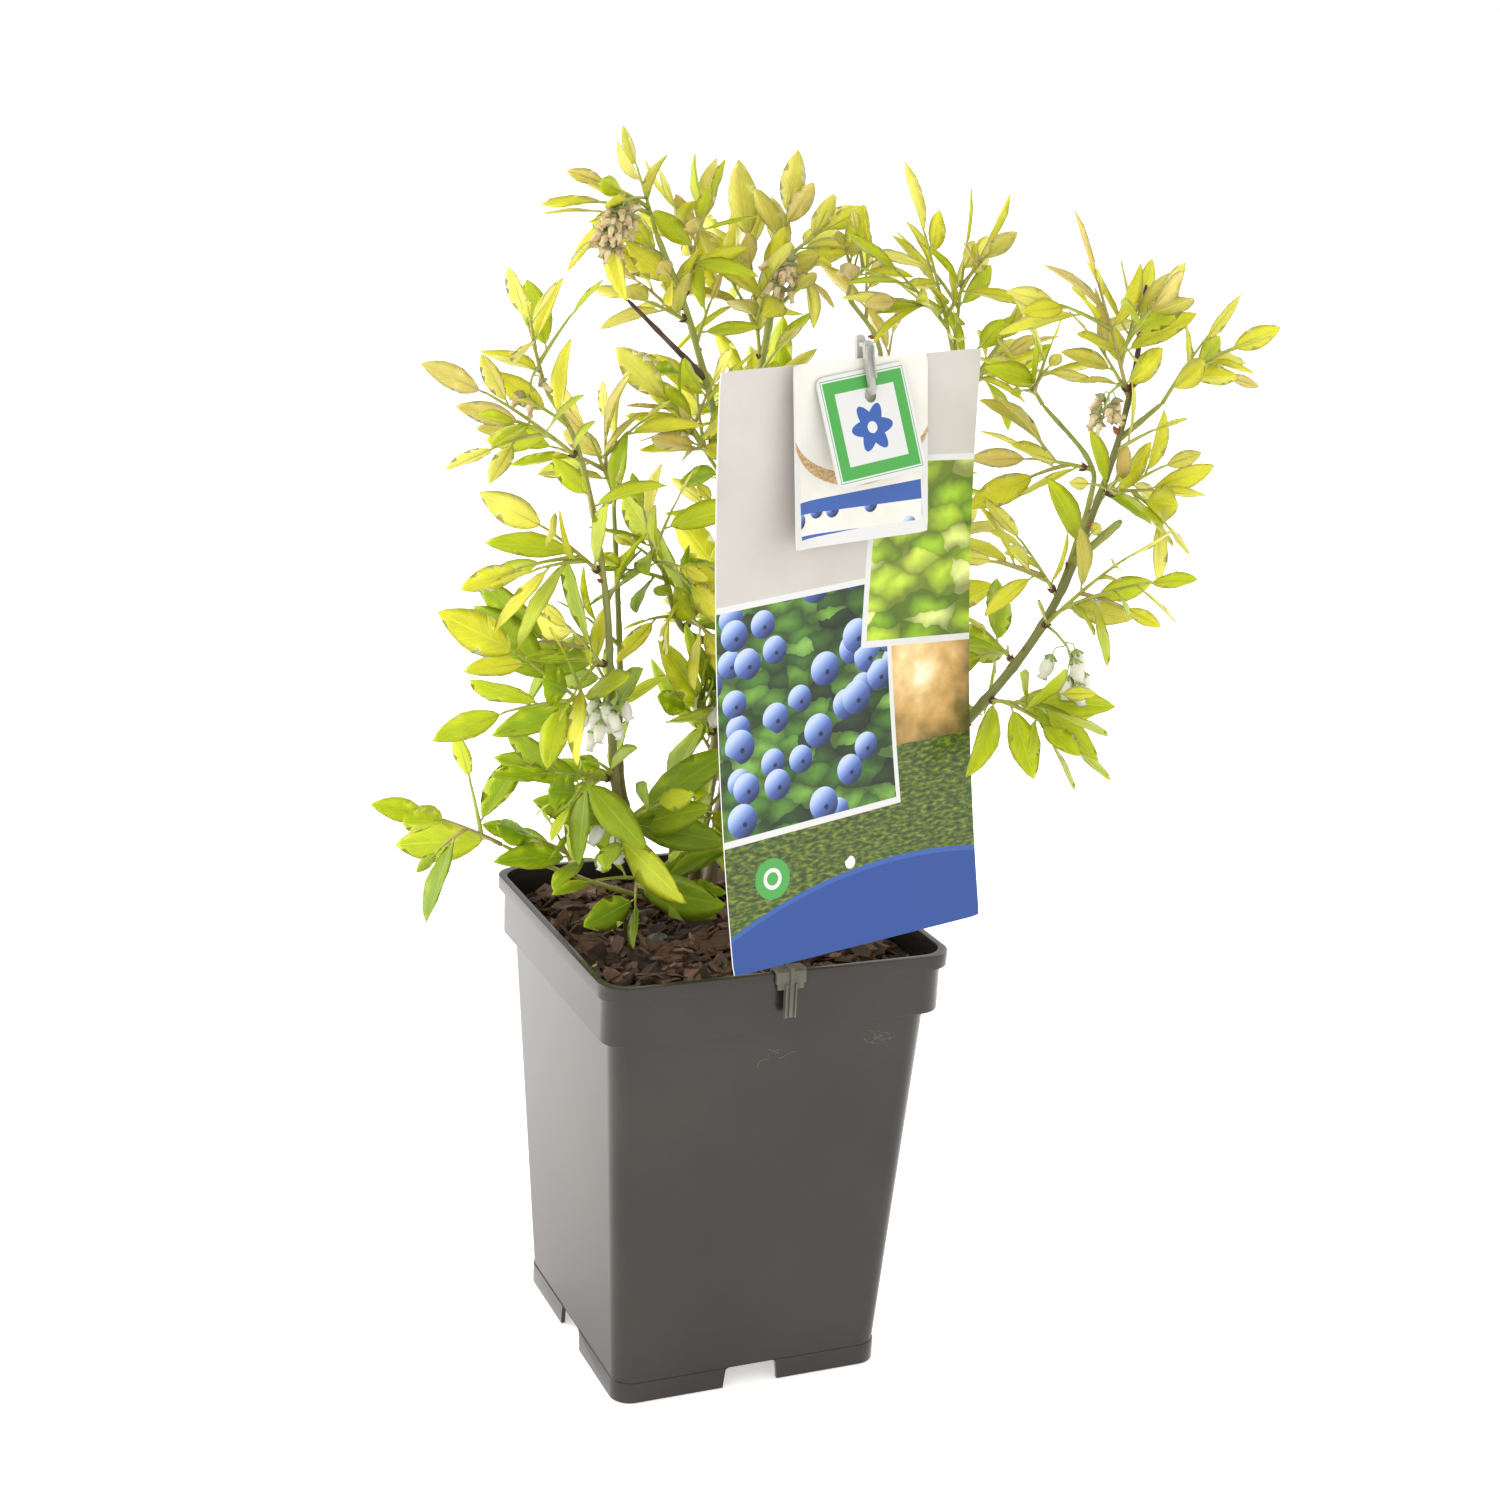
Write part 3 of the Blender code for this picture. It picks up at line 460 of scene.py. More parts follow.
def labelAxes():
    turn, lean, roll = (math.radians(labelPlace[key]) for key in ("turn", "lean", "roll"))
    flat = Vector((math.cos(turn), math.sin(turn), 0))
    out = Vector((math.sin(turn), -math.cos(turn), 0))
    rise = up * math.cos(lean) - out * math.sin(lean)
    out = out * math.cos(lean) + up * math.sin(lean)
    return (flat * math.cos(roll) + rise * math.sin(roll),
            rise * math.cos(roll) - flat * math.sin(roll), out)


def onCard(across, rise, out):
    axes = labelAxes()
    return labelPlace["centre"] + axes[0] * across + axes[1] * rise + axes[2] * out


def cardBow(rise):
    return -labelPlace["bow"] * (1 - (rise / (labelPlace["size"][1] / 2)) ** 2)


def buildSheet(name, look, mesh, size, place):
    # Printed on its front, plain paper on its edges and back
    cells, corner = mesh
    dropSelection()
    bpy.ops.mesh.primitive_grid_add(x_subdivisions=cells[0], y_subdivisions=cells[1], size=1)
    sheet = added(name)
    for material in (materials[look], materials["paper"]):
        sheet.data.materials.append(material)
    roundCorners(sheet, corner, size)
    uv = sheet.data.uv_layers.active.data
    for loop in sheet.data.loops:
        at = sheet.data.vertices[loop.vertex_index].co
        uv[loop.index].uv = (at.x + .5, at.y + .5)
    for vertex in sheet.data.vertices:
        vertex.co = place(vertex.co.x + .5, vertex.co.y + .5)
    thick = sheet.modifiers.new("paper", "SOLIDIFY")
    thick.thickness = labelPlace["paper"]
    thick.offset = -1
    thick.material_offset = 1
    thick.material_offset_rim = 1
    applyAll(sheet)
    smoothed(sheet, 50)
    return sheet


def roundCorners(sheet, corner, size):
    for vertex in sheet.data.vertices:
        x, y = vertex.co.x * size[0], vertex.co.y * size[1]
        dx, dy = abs(x) - size[0] / 2 + corner, abs(y) - size[1] / 2 + corner
        if dx > 0 and dy > 0:
            share = max(dx, dy) / math.hypot(dx, dy)
            x = math.copysign(size[0] / 2 - corner + dx * share, x)
            y = math.copysign(size[1] / 2 - corner + dy * share, y)
        vertex.co = (x / size[0], y / size[1], 0)


def punchHole(sheet, spot, radius):
    dropSelection()
    bpy.ops.mesh.primitive_cylinder_add(vertices=32, radius=radius, depth=.02)
    punch = added("punch")
    punch.matrix_world = Matrix.Translation(spot) @ Matrix(labelAxes()).transposed().to_4x4()
    cutWith(sheet, [punch])


def buildCard():
    p = labelPlace
    wide, high = p["size"]

    def place(u, v):
        rise = (v - .5) * high
        return onCard((u - .5) * wide, rise, cardBow(rise))

    card = buildSheet("card_sheet", "cardPrint", p["cardMesh"], p["size"], place)
    punchHole(card, onCard(*p["punch"], cardBow(p["punch"][1])), p["punchRadius"])
    return finishPiece(card, None, ["label_card"])


def buildFold():
    p = labelPlace
    wide, high = p["foldSize"]

    def place(u, v):
        curl = p["foldCurl"] * (1 - min(1, u / p["curlFrom"])) ** 2
        return onCard(p["foldTop"][0] + (u - .5) * wide, p["foldTop"][1] - (1 - v) * high,
                      p["paper"] + gap + curl)

    fold = buildSheet("fold_sheet", "foldPrint", p["foldMesh"], p["foldSize"], place)
    return finishPiece(fold, None, ["label_fold"])


def buildTag():
    p = labelPlace
    wide, high = p["tagSize"]
    turn, lean = math.radians(p["tagTurn"]), math.radians(p["tagLean"])

    def place(u, v):
        side = (u - .5) * wide
        swing, drop = math.sin(lean) * (1 - v) * high, math.cos(lean) * (1 - v) * high
        return onCard(p["tagTop"][0] + side * math.cos(turn) + drop * math.sin(turn),
                      p["tagTop"][1] + side * math.sin(turn) - drop * math.cos(turn),
                      2 * (p["paper"] + gap) + swing)

    tag = buildSheet("tag_sheet", "tagPrint", p["tagMesh"], p["tagSize"], place)
    punchHole(tag, onCard(p["hookAcross"], p["size"][1] / 2 - p["hookDrop"], 0), p["tagHole"])
    return finishPiece(tag, None, ["label_tag"])


# Printed designs. Every layer lies at a place in millimetres from the middle of its sheet.

def inShape(tree, spot, kind, at, size, turn):
    place = addNode(tree, "Mapping", (spot, (*at, 0), (0, 0, math.radians(turn)), (*size, 1)),
                    vector_type="TEXTURE").outputs[0]
    if kind == "disc":
        reach = addNode(tree, "VectorMath", (place,), operation="LENGTH").outputs[1]
    else:
        sides = addNode(tree, "VectorMath", (place,), operation="ABSOLUTE").outputs[0]
        split = addNode(tree, "SeparateXYZ", (sides,)).outputs
        reach = math2(tree, "MAXIMUM", split[0], split[1])
    return math2(tree, "LESS_THAN", reach, 1.0)


def layered(tree, mask, over, under):
    return addNode(tree, "Mix", (mask, None, None, None, None, None, under, over),
                   data_type="RGBA").outputs[2]


def printed(name, size, ground, layers, roughness=.36):
    material = newMaterial(name, roughness)
    tree = material.node_tree
    wide, high = size[0] * 1000, size[1] * 1000
    uv = addNode(tree, "TexCoord").outputs["UV"]
    spot = addNode(tree, "Mapping", (uv, (-wide / 2, -high / 2, 0), None, (wide, high, 1))).outputs[0]
    colour = inks[ground](tree, spot)
    for ink, kind, at, half, turn in layers:
        mask = inShape(tree, spot, kind, at, half, turn)
        colour = layered(tree, mask, inks[ink](tree, spot), colour)
    tree.links.new(colour, tree.nodes["Principled BSDF"].inputs["Base Color"])
    return material


def plainInk(*colour):
    return lambda tree, spot: (*colour, 1)


def cloudInk(scale, stops, stretch=(1, 1, 1), detail=4):
    return lambda tree, spot: ramp(tree, noiseOn(tree, spot, scale, detail, stretch), stops)


ballPrint = {
    "loose": .78, "radius": .36, "light": (-.6, .8, 0), "crownOff": .10, "crownRadius": .055,
    "crown": (.008, .012, .035, 1),
    "tones": [(.1, (.012, .025, .10)), (.42, (.06, .11, .36)), (.62, (.20, .31, .64)),
              (.85, (.52, .62, .84))],
}


def discsInk(scale, leaf, share=.5, offset=0.0):
    # Balls lit from one side, each with a small dark crown away from the light
    k = ballPrint

    def paint(tree, spot):
        ground = leaf(tree, spot)
        if offset:
            spot = addNode(tree, "Mapping", (spot, (offset, offset / 2, 0))).outputs[0]
        cells = addNode(tree, "TexVoronoi", (spot, None, scale), voronoi_dimensions="2D")
        cells.inputs["Randomness"].default_value = k["loose"]
        far = cells.outputs["Distance"]
        across = addNode(tree, "VectorMath", (spot, cells.outputs["Position"]),
                         operation="SUBTRACT").outputs[0]
        lit = addNode(tree, "VectorMath", (across, k["light"]), operation="DOT_PRODUCT").outputs[1]
        edge = k["radius"] / scale
        ball = ramp(tree, addNode(tree, "MapRange", (lit, -edge, edge, 0, 1)).outputs[0], k["tones"])
        off = tuple(-k["crownOff"] / scale * part for part in k["light"])
        crown = addNode(tree, "VectorMath", (across, off), operation="DISTANCE").outputs[1]
        ball = layered(tree, math2(tree, "LESS_THAN", crown, k["crownRadius"] / scale), k["crown"], ball)
        chance = addNode(tree, "SeparateXYZ", (cells.outputs["Color"],)).outputs[0]
        shown = math2(tree, "MULTIPLY", math2(tree, "LESS_THAN", far, k["radius"]),
                      math2(tree, "GREATER_THAN", chance, share))
        return layered(tree, shown, ball, ground)
    return paint


leafPrint = {"warpScale": .9, "warp": 1.1, "stretch": (.5, 1, 1), "shade": (.1, .62, 1.15, .35)}


def leavesInk(scale, stops, turn=35):
    # Long cells turned aslant, each in its own tone and darker towards its edge
    k = leafPrint

    def paint(tree, spot):
        warp = addNode(tree, "TexNoise", (spot, None, scale * k["warpScale"], 2)).outputs[1]
        warped = addNode(tree, "VectorMath", (warp, (k["warp"] / scale,) * 3, spot),
                         operation="MULTIPLY_ADD").outputs[0]
        place = addNode(tree, "Mapping", (warped, None, (0, 0, math.radians(turn)), k["stretch"])).outputs[0]
        cells = addNode(tree, "TexVoronoi", (place, None, scale), voronoi_dimensions="2D")
        chance = addNode(tree, "SeparateXYZ", (cells.outputs["Color"],)).outputs[0]
        shade = addNode(tree, "MapRange", (cells.outputs["Distance"], *k["shade"])).outputs[0]
        tone = ramp(tree, chance, stops)
        return addNode(tree, "VectorMath", (tone, None, None, shade), operation="SCALE").outputs[0]
    return paint


sunPrint = {"reach": (40, 46, 1), "hazeScale": .09, "hazeDetail": 4, "haze": .8}


def glowInk(at, stops):
    # A low sun: rings of light that fade outwards, broken by haze
    k = sunPrint

    def paint(tree, spot):
        place = addNode(tree, "Mapping", (spot, (*at, 0), None, k["reach"]),
                        vector_type="TEXTURE").outputs[0]
        reach = addNode(tree, "VectorMath", (place,), operation="LENGTH").outputs[1]
        cloud = noiseOn(tree, spot, k["hazeScale"], k["hazeDetail"])
        haze = math2(tree, "MULTIPLY", math2(tree, "SUBTRACT", cloud, .5), k["haze"])
        return ramp(tree, math2(tree, "ADD", reach, haze), stops)
    return paint


inks = {
    "stone": cloudInk(.03, [(.3, (.51, .48, .44)), (.7, (.59, .56, .52))]),
    "white": plainInk(.70, .70, .69),
    "blue": plainInk(.012, .060, .28),
    "blueLight": plainInk(.030, .100, .38),
    "green": plainInk(.065, .36, .065),
    "meadow": cloudInk(.30, [(.26, (.010, .025, .004)), (.46, (.045, .085, .010)), (.60, (.14, .19, .015)),
                             (.78, (.34, .36, .05))], (1, 2.6, 1), 9),
    "thicket": leavesInk(.15, [(.1, (.012, .035, .006)), (.45, (.05, .15, .016)), (.8, (.13, .30, .035)),
                                (1, (.20, .40, .07))]),
    "lime": leavesInk(.11, [(0, (.16, .34, .01)), (.4, (.34, .54, .02)), (.75, (.52, .66, .05)),
                             (1, (.74, .80, .30))], -50),
    "dusk": glowInk((34, -8), [(0, (.95, .88, .70)), (.16, (.90, .66, .32)), (.42, (.60, .36, .12)),
                               (.72, (.22, .15, .04)), (.95, (.05, .07, .02))]),
    "cream": cloudInk(.06, [(.3, (.74, .72, .64)), (.7, (.82, .81, .76))]),
    "crumb": cloudInk(.9, [(.35, (.38, .22, .09)), (.65, (.66, .47, .26))]),
}
inks["discs"] = discsInk(.054, discsInk(.060, discsInk(.066, inks["thicket"], .5), .5, 9.0), .5, 23.0)
inks["smallDiscs"] = discsInk(.115, inks["cream"], .55)


# The holder: a clip over the rim, a ribbed leg, a stem behind the card and a grooved hook

holderShape = {
    "x": .0014, "plastic": .0016, "clipWidth": .0125, "clipDrop": .0052, "legWidth": .0048, "legDrop": .0195,
    "stemWidth": .0040, "rib": .0007, "ribOut": .0005, "lug": (.0112, .0024), "edge": .00018,
    "ridge": .0014, "frontLower": .0018, "bridgeLower": .0034, "bridgeWidth": .0026, "bridgeRise": .0012,
    "frontWidths": (.62, .70, .86, 1), "frontDrops": (.5, .72), "frontRibs": .36,
    "barb": ((.0008, 1.05), (.0026, .10)), "lugSunk": .0001, "lugThick": .72, "bridgeThick": .9,
    "ribStand": .8, "ribSunk": .0004, "ridgeSunk": .0006, "ridgeReach": .98,
}


def sweep(name, path, side, width, thick):
    widths = width if isinstance(width, list) else [width] * len(path)
    rings = []
    for i, point in enumerate(path):
        before = (point - path[i - 1]).normalized() if i else None
        after = (path[i + 1] - point).normalized() if i + 1 < len(path) else None
        run = ((before or after) + (after or before)).normalized()
        out = run.cross(side).normalized() * (thick / 2 / max(.5, run.dot(after or before)))
        edge = side * (widths[i] / 2)
        rings.append([point - edge - out, point + edge - out, point + edge + out, point - edge + out])
    piece = meshPiece(name, *loft(rings), False)
    fixNormals(piece)
    return piece


def fixNormals(piece):
    pick(piece)
    bpy.ops.object.mode_set(mode="EDIT")
    bpy.ops.mesh.select_all(action="SELECT")
    bpy.ops.mesh.normals_make_consistent(inside=False)
    bpy.ops.object.mode_set(mode="OBJECT")


def loft(rings):
    verts = [v for ring in rings for v in ring]
    count = len(rings[0])
    faces = []
    for low in range(0, len(verts) - count, count):
        for i in range(count):
            j = (i + 1) % count
            faces.append((low + i, low + j, low + count + j, low + count + i))
    faces.append(tuple(reversed(range(count))))
    faces.append(tuple(range(len(verts) - count, len(verts))))
    return verts, faces


def hookDepths(depth):
    p, plastic = labelPlace, holderShape["plastic"]
    back = -p["paper"] - 2 * gap - plastic / 2 - depth
    front = 2 * (p["paper"] + gap) + gap + plastic / 2 + depth
    return back, front, p["size"][1] / 2, p["size"][1] / 2 + p["hookRise"]


def stemRoute(start, shift=0.0, depth=0.0):
    # Up behind the card, then straight on to the crest of the hook
    p = labelPlace
    back, _, top, crest = hookDepths(depth)
    low = [(start - p["centre"]).dot(axis) for axis in labelAxes()]
    route = []
    for i in range(p["stemParts"] + 1):
        share = i / p["stemParts"]
        rise = low[1] + (top - low[1]) * share
        straight = low[2] + (back - low[2]) * share
        across = low[0] + (p["hookAcross"] - low[0]) * share + shift
        route.append(onCard(across, rise, min(straight, back + cardBow(rise))))
    route.append(onCard(p["hookAcross"] + shift, crest - holderShape["stemWidth"] / 2, back))
    return route


def frontRoute(shift=0.0, depth=0.0):
    # Down the front of the tag, as far as its hole
    p, s = labelPlace, holderShape
    _, front, top, crest = hookDepths(depth)
    start = crest - s["frontLower"] - s["stemWidth"] / 2
    lean = math.sin(math.radians(p["tagLean"]))
    return [onCard(p["hookAcross"] + shift, start, front), onCard(p["hookAcross"] + shift, top, front)] + [
        onCard(p["hookAcross"] + shift, top - drop, front + drop * lean)
        for drop in (p["hookDrop"] * share for share in s["frontDrops"])]


def bridgeRoute():
    p, s = labelPlace, holderShape
    back, front, _, crest = hookDepths(0)
    low = crest - s["bridgeLower"]
    middle, reach = (back + front) / 2, (front - back) / 2
    return [onCard(p["hookAcross"], low - s["bridgeRise"] * (1 - math.sin(math.pi * k / 6)),
                   middle - reach * math.cos(math.pi * k / 6)) for k in range(7)]


def roundedBar(name, route, width, thick, end, tip=()):
    # The bar's far end is a half circle towards end; tip adds (distance, width) pairs at its other end
    widths = list(width) if isinstance(width, list) else [width] * len(route)
    shoulder, width = route[-1], widths[-1]
    for angle in (30, 60, 84):
        route.append(shoulder + end * width / 2 * math.sin(math.radians(angle)))
        widths.append(width * math.cos(math.radians(angle)))
    for distance, wide in tip:
        run = (route[0] - route[1]).normalized()
        route.insert(0, route[0] + run * distance)
        widths.insert(0, wide)
    return sweep(name, route, labelAxes()[0], widths, thick)


def buildHolder():
    s = holderShape
    side = Vector((1, 0, 0))
    low, high = potLow, potHigh
    plastic, rim = s["plastic"], potShape["wall"]
    face = low.y - gap - plastic / 2
    inside = low.y + potShape["lipOut"] + rim * .75 + plastic / 2 + gap
    over = high.z + gap + plastic / 2

    def at(y, z):
        return Vector((s["x"], y, z))

    soft = plastic / 3
    saddle = [at(inside, over - s["clipDrop"]), at(inside, over - soft), at(inside - soft, over),
              at(face + soft, over), at(face, over - soft), at(face, over - s["clipDrop"])]
    holder = sweep("holder_moulding", saddle, side, s["clipWidth"], plastic)
    ribOut = plastic / 2 + s["ribOut"] / 2
    rise = at(inside, over - plastic)
    parts = [
        sweep("leg", [at(face, over - plastic), at(face, over - s["legDrop"])], side, s["legWidth"],
              plastic),
        sweep("lug", [at(face, over - s["clipDrop"] - s["lugSunk"]),
                      at(face, over - s["clipDrop"] - s["lug"][1])],
              side, s["lug"][0], plastic * s["lugThick"]),
        roundedBar("stem", stemRoute(rise), s["stemWidth"], plastic, labelAxes()[1]),
        roundedBar("hook_front", frontRoute()[::-1],
                   [s["stemWidth"] * share for share in s["frontWidths"]], plastic, labelAxes()[1],
                   [(far, s["stemWidth"] * share) for far, share in s["barb"]]),
        sweep("bridge", bridgeRoute(), labelAxes()[0], s["bridgeWidth"],
              plastic * s["bridgeThick"])]
    for shift in (-1, 0, 1):
        offset = shift * (s["stemWidth"] - s["rib"]) / 2
        route = stemRoute(rise + Vector((0, ribOut, 0)), offset, s["ribOut"] * s["ribStand"])
        parts.append(sweep("stem_rib", route, labelAxes()[0], s["rib"], s["ribOut"] + s["ribSunk"]))
    for shift in (-1, 1):
        offset = shift * s["frontRibs"] * s["stemWidth"]
        parts.append(sweep("front_rib", frontRoute(offset, s["ribOut"] + plastic / 2)[:3],
                           labelAxes()[0], s["rib"], s["ribOut"] + s["ribSunk"]))
    for shift in (-1, 1):
        offset = side * shift * (s["legWidth"] - s["rib"]) / 2
        parts.append(sweep("leg_rib", [at(face - ribOut, over - s["clipDrop"]) + offset,
                                       at(face - ribOut, over - s["legDrop"]) + offset],
                           side, s["rib"], s["ribOut"] + s["ribSunk"]))
    ridge = [at(inside, over + ribOut), at(face - ribOut, over + ribOut),
             at(face - ribOut, over - s["legDrop"] * s["ridgeReach"])]
    parts.append(sweep("ridge", ridge, side, s["ridge"], s["ribOut"] + s["ridgeSunk"]))
    cutWith(holder, parts, "UNION")
    bevelled(holder, s["edge"], 2, 40)
    smoothed(holder, 40)
    return finishPiece(holder, materials["holder"], ["label_holder"])


# The bush. Canes: points from the foot to the tip, then the radius at the foot and at the tip.

canes = {
    "cane_left": ([(-.016, .030, .178), (-.044, .005, .242), (-.053, .000, .325),
                   (-.066, -.001, .384), (-.080, .002, .410)], .0032, .0013),
    "cane_middle": ([(-.006, .041, .178), (-.034, .025, .236), (-.037, .027, .300),
                     (-.044, .021, .365)], .0030, .0013),
    "cane_centre": ([(.006, .044, .178), (.010, .030, .270), (.014, .041, .357),
                     (-.001, .050, .425), (-.020, .047, .466)], .0034, .0013),
    "cane_rear": ([(.006, .028, .178), (.024, .049, .255), (.033, .066, .370),
                   (.040, .062, .440)], .0032, .0014),
    "cane_right_rear": ([(.012, .008, .178), (.060, .012, .245), (.098, .013, .330),
                         (.106, .017, .390), (.104, .019, .425)], .0030, .0013),
    "cane_right": ([(.016, -.010, .178), (.060, -.035, .242), (.108, -.059, .316),
                    (.127, -.070, .378), (.138, -.068, .421), (.144, -.062, .457)], .0035, .0010),
    "cane_back": ([(.014, .054, .178), (.040, .074, .240), (.060, .090, .320),
                   (.058, .098, .372)], .0030, .0013),
    "cane_back_right": ([(.026, .040, .178), (.066, .062, .260), (.095, .064, .355),
                         (.090, .059, .413), (.072, .058, .439)], .0029, .0012),
}

# Boughs: carrier, where along it (0 to 1), the points after the root, radius at root and tip
boughs = {
    "bough_low_left": ("cane_left", .05, [(-.045, .028, .197), (-.072, .020, .211),
                                          (-.090, .015, .222)], .0017, .0011),
    "bough_cross": ("cane_centre", .40, [(-.008, .031, .305), (-.024, .014, .334)], .0021, .0013),
    "bough_dead_stub": ("cane_centre", .78, [(-.033, .041, .439)], .0014, .0008),
    "bough_cut_stub": ("cane_right", .65, [(.1265, -.087, .369)], .0017, .0016),
    "bough_inner": ("cane_right", .60, [(.134, -.050, .370), (.136, -.043, .385),
                                        (.123, -.025, .405)], .0016, .0010),
    "bough_fork": ("cane_right", .81, [(.155, -.064, .411)], .0015, .0011),
}

# Foliage masses: carrier, where along it, length of a full leaf, the tip that the main twig
# reaches with its last leaf, and the tips of its side twigs
masses = {
    "leaves_left_top": ("cane_left", 1, .036, [(-.094, .003, .454)]),
    "leaves_left_upper": ("cane_left", .87, .032, [(-.131, -.011, .421), (-.112, -.020, .404)]),
    "leaves_left_inner": ("cane_middle", 1, .036, [(-.066, .024, .408), (-.044, .036, .406)]),
    "leaves_left_mid": ("cane_left", .68, .046, [(-.108, -.013, .372), (-.107, -.018, .337)]),
    "leaves_left_low": ("cane_left", .53, .044, [(-.084, -.012, .306), (-.070, .030, .318)]),
    "leaves_left_long": ("cane_left", .42, .044, [(-.123, -.012, .326), (-.085, -.028, .322)]),
    "leaves_left_hang": ("cane_left", .33, .036, [(-.102, -.008, .258), (-.086, -.014, .243)]),
    "leaves_front_big": ("cane_left", .24, .048, [(-.064, -.040, .228), (-.070, -.024, .262)]),
    "leaves_front_low": ("cane_left", .13, .046, [(-.048, -.030, .188), (-.074, -.004, .206),
                                                  (-.008, -.030, .209)]),
    "leaves_low_left": ("bough_low_left", 1, .040, [(-.149, .010, .246), (-.112, .004, .272),
                                                    (-.126, .016, .212)]),
    "leaves_low_left_root": ("bough_low_left", .45, .034, [(-.078, -.004, .240)]),
    "leaves_cross_tip": ("bough_cross", 1, .038, [(-.050, .000, .352), (-.020, -.024, .338),
                                                  (-.014, .012, .374)]),
    "leaves_cross_root": ("bough_cross", .35, .040, [(-.004, -.004, .330), (.004, .004, .300)]),
    "leaves_low_centre": ("cane_centre", .15, .042, [(-.010, -.010, .226), (.012, .002, .250)]),
    "leaves_centre": ("cane_centre", .27, .044, [(-.028, .002, .284), (.000, -.006, .290)]),
    "leaves_centre_high": ("cane_centre", .63, .038, [(-.040, .028, .420), (-.016, .024, .398),
                                                      (-.010, .022, .372)]),
    "leaves_top_left": ("cane_centre", 1, .036, [(-.036, .048, .508), (-.072, .036, .477)]),
    "leaves_top_left_low": ("cane_centre", .86, .036, [(-.048, .042, .444), (-.034, .064, .452)]),
    "leaves_top_mid_left": ("cane_centre", .89, .036, [(.010, .061, .492), (.004, .034, .462)]),
    "leaves_top_mid": ("cane_rear", .88, .038, [(.024, .068, .490), (.010, .078, .464)]),
    "leaves_top_rear": ("cane_rear", 1, .034, [(.045, .057, .496), (.072, .060, .476),
                                               (.064, .050, .434)]),
    "leaves_rear_low": ("cane_rear", .78, .038, [(.008, .078, .408), (.020, .040, .412)]),
    "leaves_right_rear_top": ("cane_right_rear", 1, .030, [(.108, .019, .485)]),
    "leaves_right_rear_left": ("cane_right_rear", .96, .036, [(.073, .012, .494),
                                                              (.055, .022, .468)]),
    "leaves_right_rear_low": ("cane_right_rear", .90, .034, [(.143, .020, .444),
                                                             (.128, -.006, .430)]),
    "leaves_right_rear_foot": ("cane_right_rear", .42, .040, [(.100, .012, .238),
                                                              (.112, .030, .276)]),
    "leaves_back_right_top": ("cane_back_right", 1, .032, [(.077, .056, .466), (.094, .050, .452)]),
    "leaves_back_right_mid": ("cane_back_right", .62, .038, [(.134, .078, .372),
                                                             (.110, .096, .352)]),
    "leaves_back_right_low": ("cane_back_right", .34, .040, [(.102, .090, .272),
                                                             (.120, .060, .262)]),
    "leaves_back_top": ("cane_back", 1, .038, [(.050, .108, .410), (.078, .104, .398)]),
    "leaves_back_mid": ("cane_back", .55, .040, [(.022, .118, .334), (.066, .124, .312),
                                                 (.030, .104, .290)]),
    "leaves_right_top": ("cane_right", .86, .036, [(.104, -.072, .483), (.151, -.054, .465),
                                                   (.112, -.086, .440)]),
    "leaves_right_fork": ("bough_fork", 1, .036, [(.189, -.060, .452), (.199, -.075, .442),
                                                  (.196, -.070, .418)]),
    "leaves_right_mid": ("cane_right", .74, .036, [(.153, -.104, .381), (.104, -.084, .384)]),
    "leaves_right_inner": ("bough_inner", 1, .036, [(.103, -.020, .430), (.100, -.040, .412)]),
    "leaves_right_inner_low": ("bough_inner", .62, .036, [(.088, -.030, .384),
                                                          (.112, -.030, .372)]),
    "leaves_right_low_out": ("cane_right", .55, .030, [(.135, -.110, .369), (.142, -.125, .354),
                                                       (.139, -.104, .330)]),
    "leaves_right_low_in": ("cane_right", .60, .032, [(.097, -.031, .368), (.086, -.026, .344)]),
    "leaves_right_flower": ("cane_right", .44, .040, [(.109, -.120, .293), (.100, -.116, .283),
                                                      (.118, -.094, .302)]),
    "leaves_right_foot": ("cane_right", .50, .042, [(.096, -.020, .318), (.114, -.028, .306)]),
}

growth = {
    "seed": 11, "pitch": (.0086, .0066), "firstLeaf": .006, "pitchVaries": .15,
    "leafShape": .42, "leafWidth": .46, "leafThick": .0008, "leafFold": math.radians(13), "leafDroop": .07,
    "petiole": .0026, "stemHalf": .0005, "core": .28, "shortLeaf": .72, "roll": .55, "facesUp": .44,
    "facesTip": .25, "facesOut": .70, "sag": .06,
    "smallest": .60, "sizeFrom": .15, "sizeSpan": .75, "sizeVaries": .16, "leafScale": (1.02, .78),
    "spreadFoot": math.radians(60), "spreadTip": math.radians(34), "spreadVaries": .20,
    "lastLeaf": .9, "lastShare": .5, "tipShrinks": (1, 1, 1, 1, .85, .85), "boxShrink": .97,
    "turnsTried": (0, .6, -.6, 1.2, -1.2, 1.9, -1.9),
    "twigFoot": .0010, "twigTip": .0005, "twigStep": .005, "twigSides": 6, "twigBow": .10,
    "spurReach": .036, "spurVaries": (.8, 1.2), "spurLeaf": .034, "limbStep": .0026, "warmShoots": .15,
    "forksAt": (.30, .52), "offshootsAt": (.38, .62), "offshootReach": .58,
    "offshootSpread": math.radians(50), "offshootsTried": 9, "clear": .0004, "twigsEnough": 3,
    "heart": Vector((.02, .02, .3)), "low": Vector((cadBounds[0][0], cadBounds[0][1], .182)),
    "high": Vector(cadBounds[1]),
}
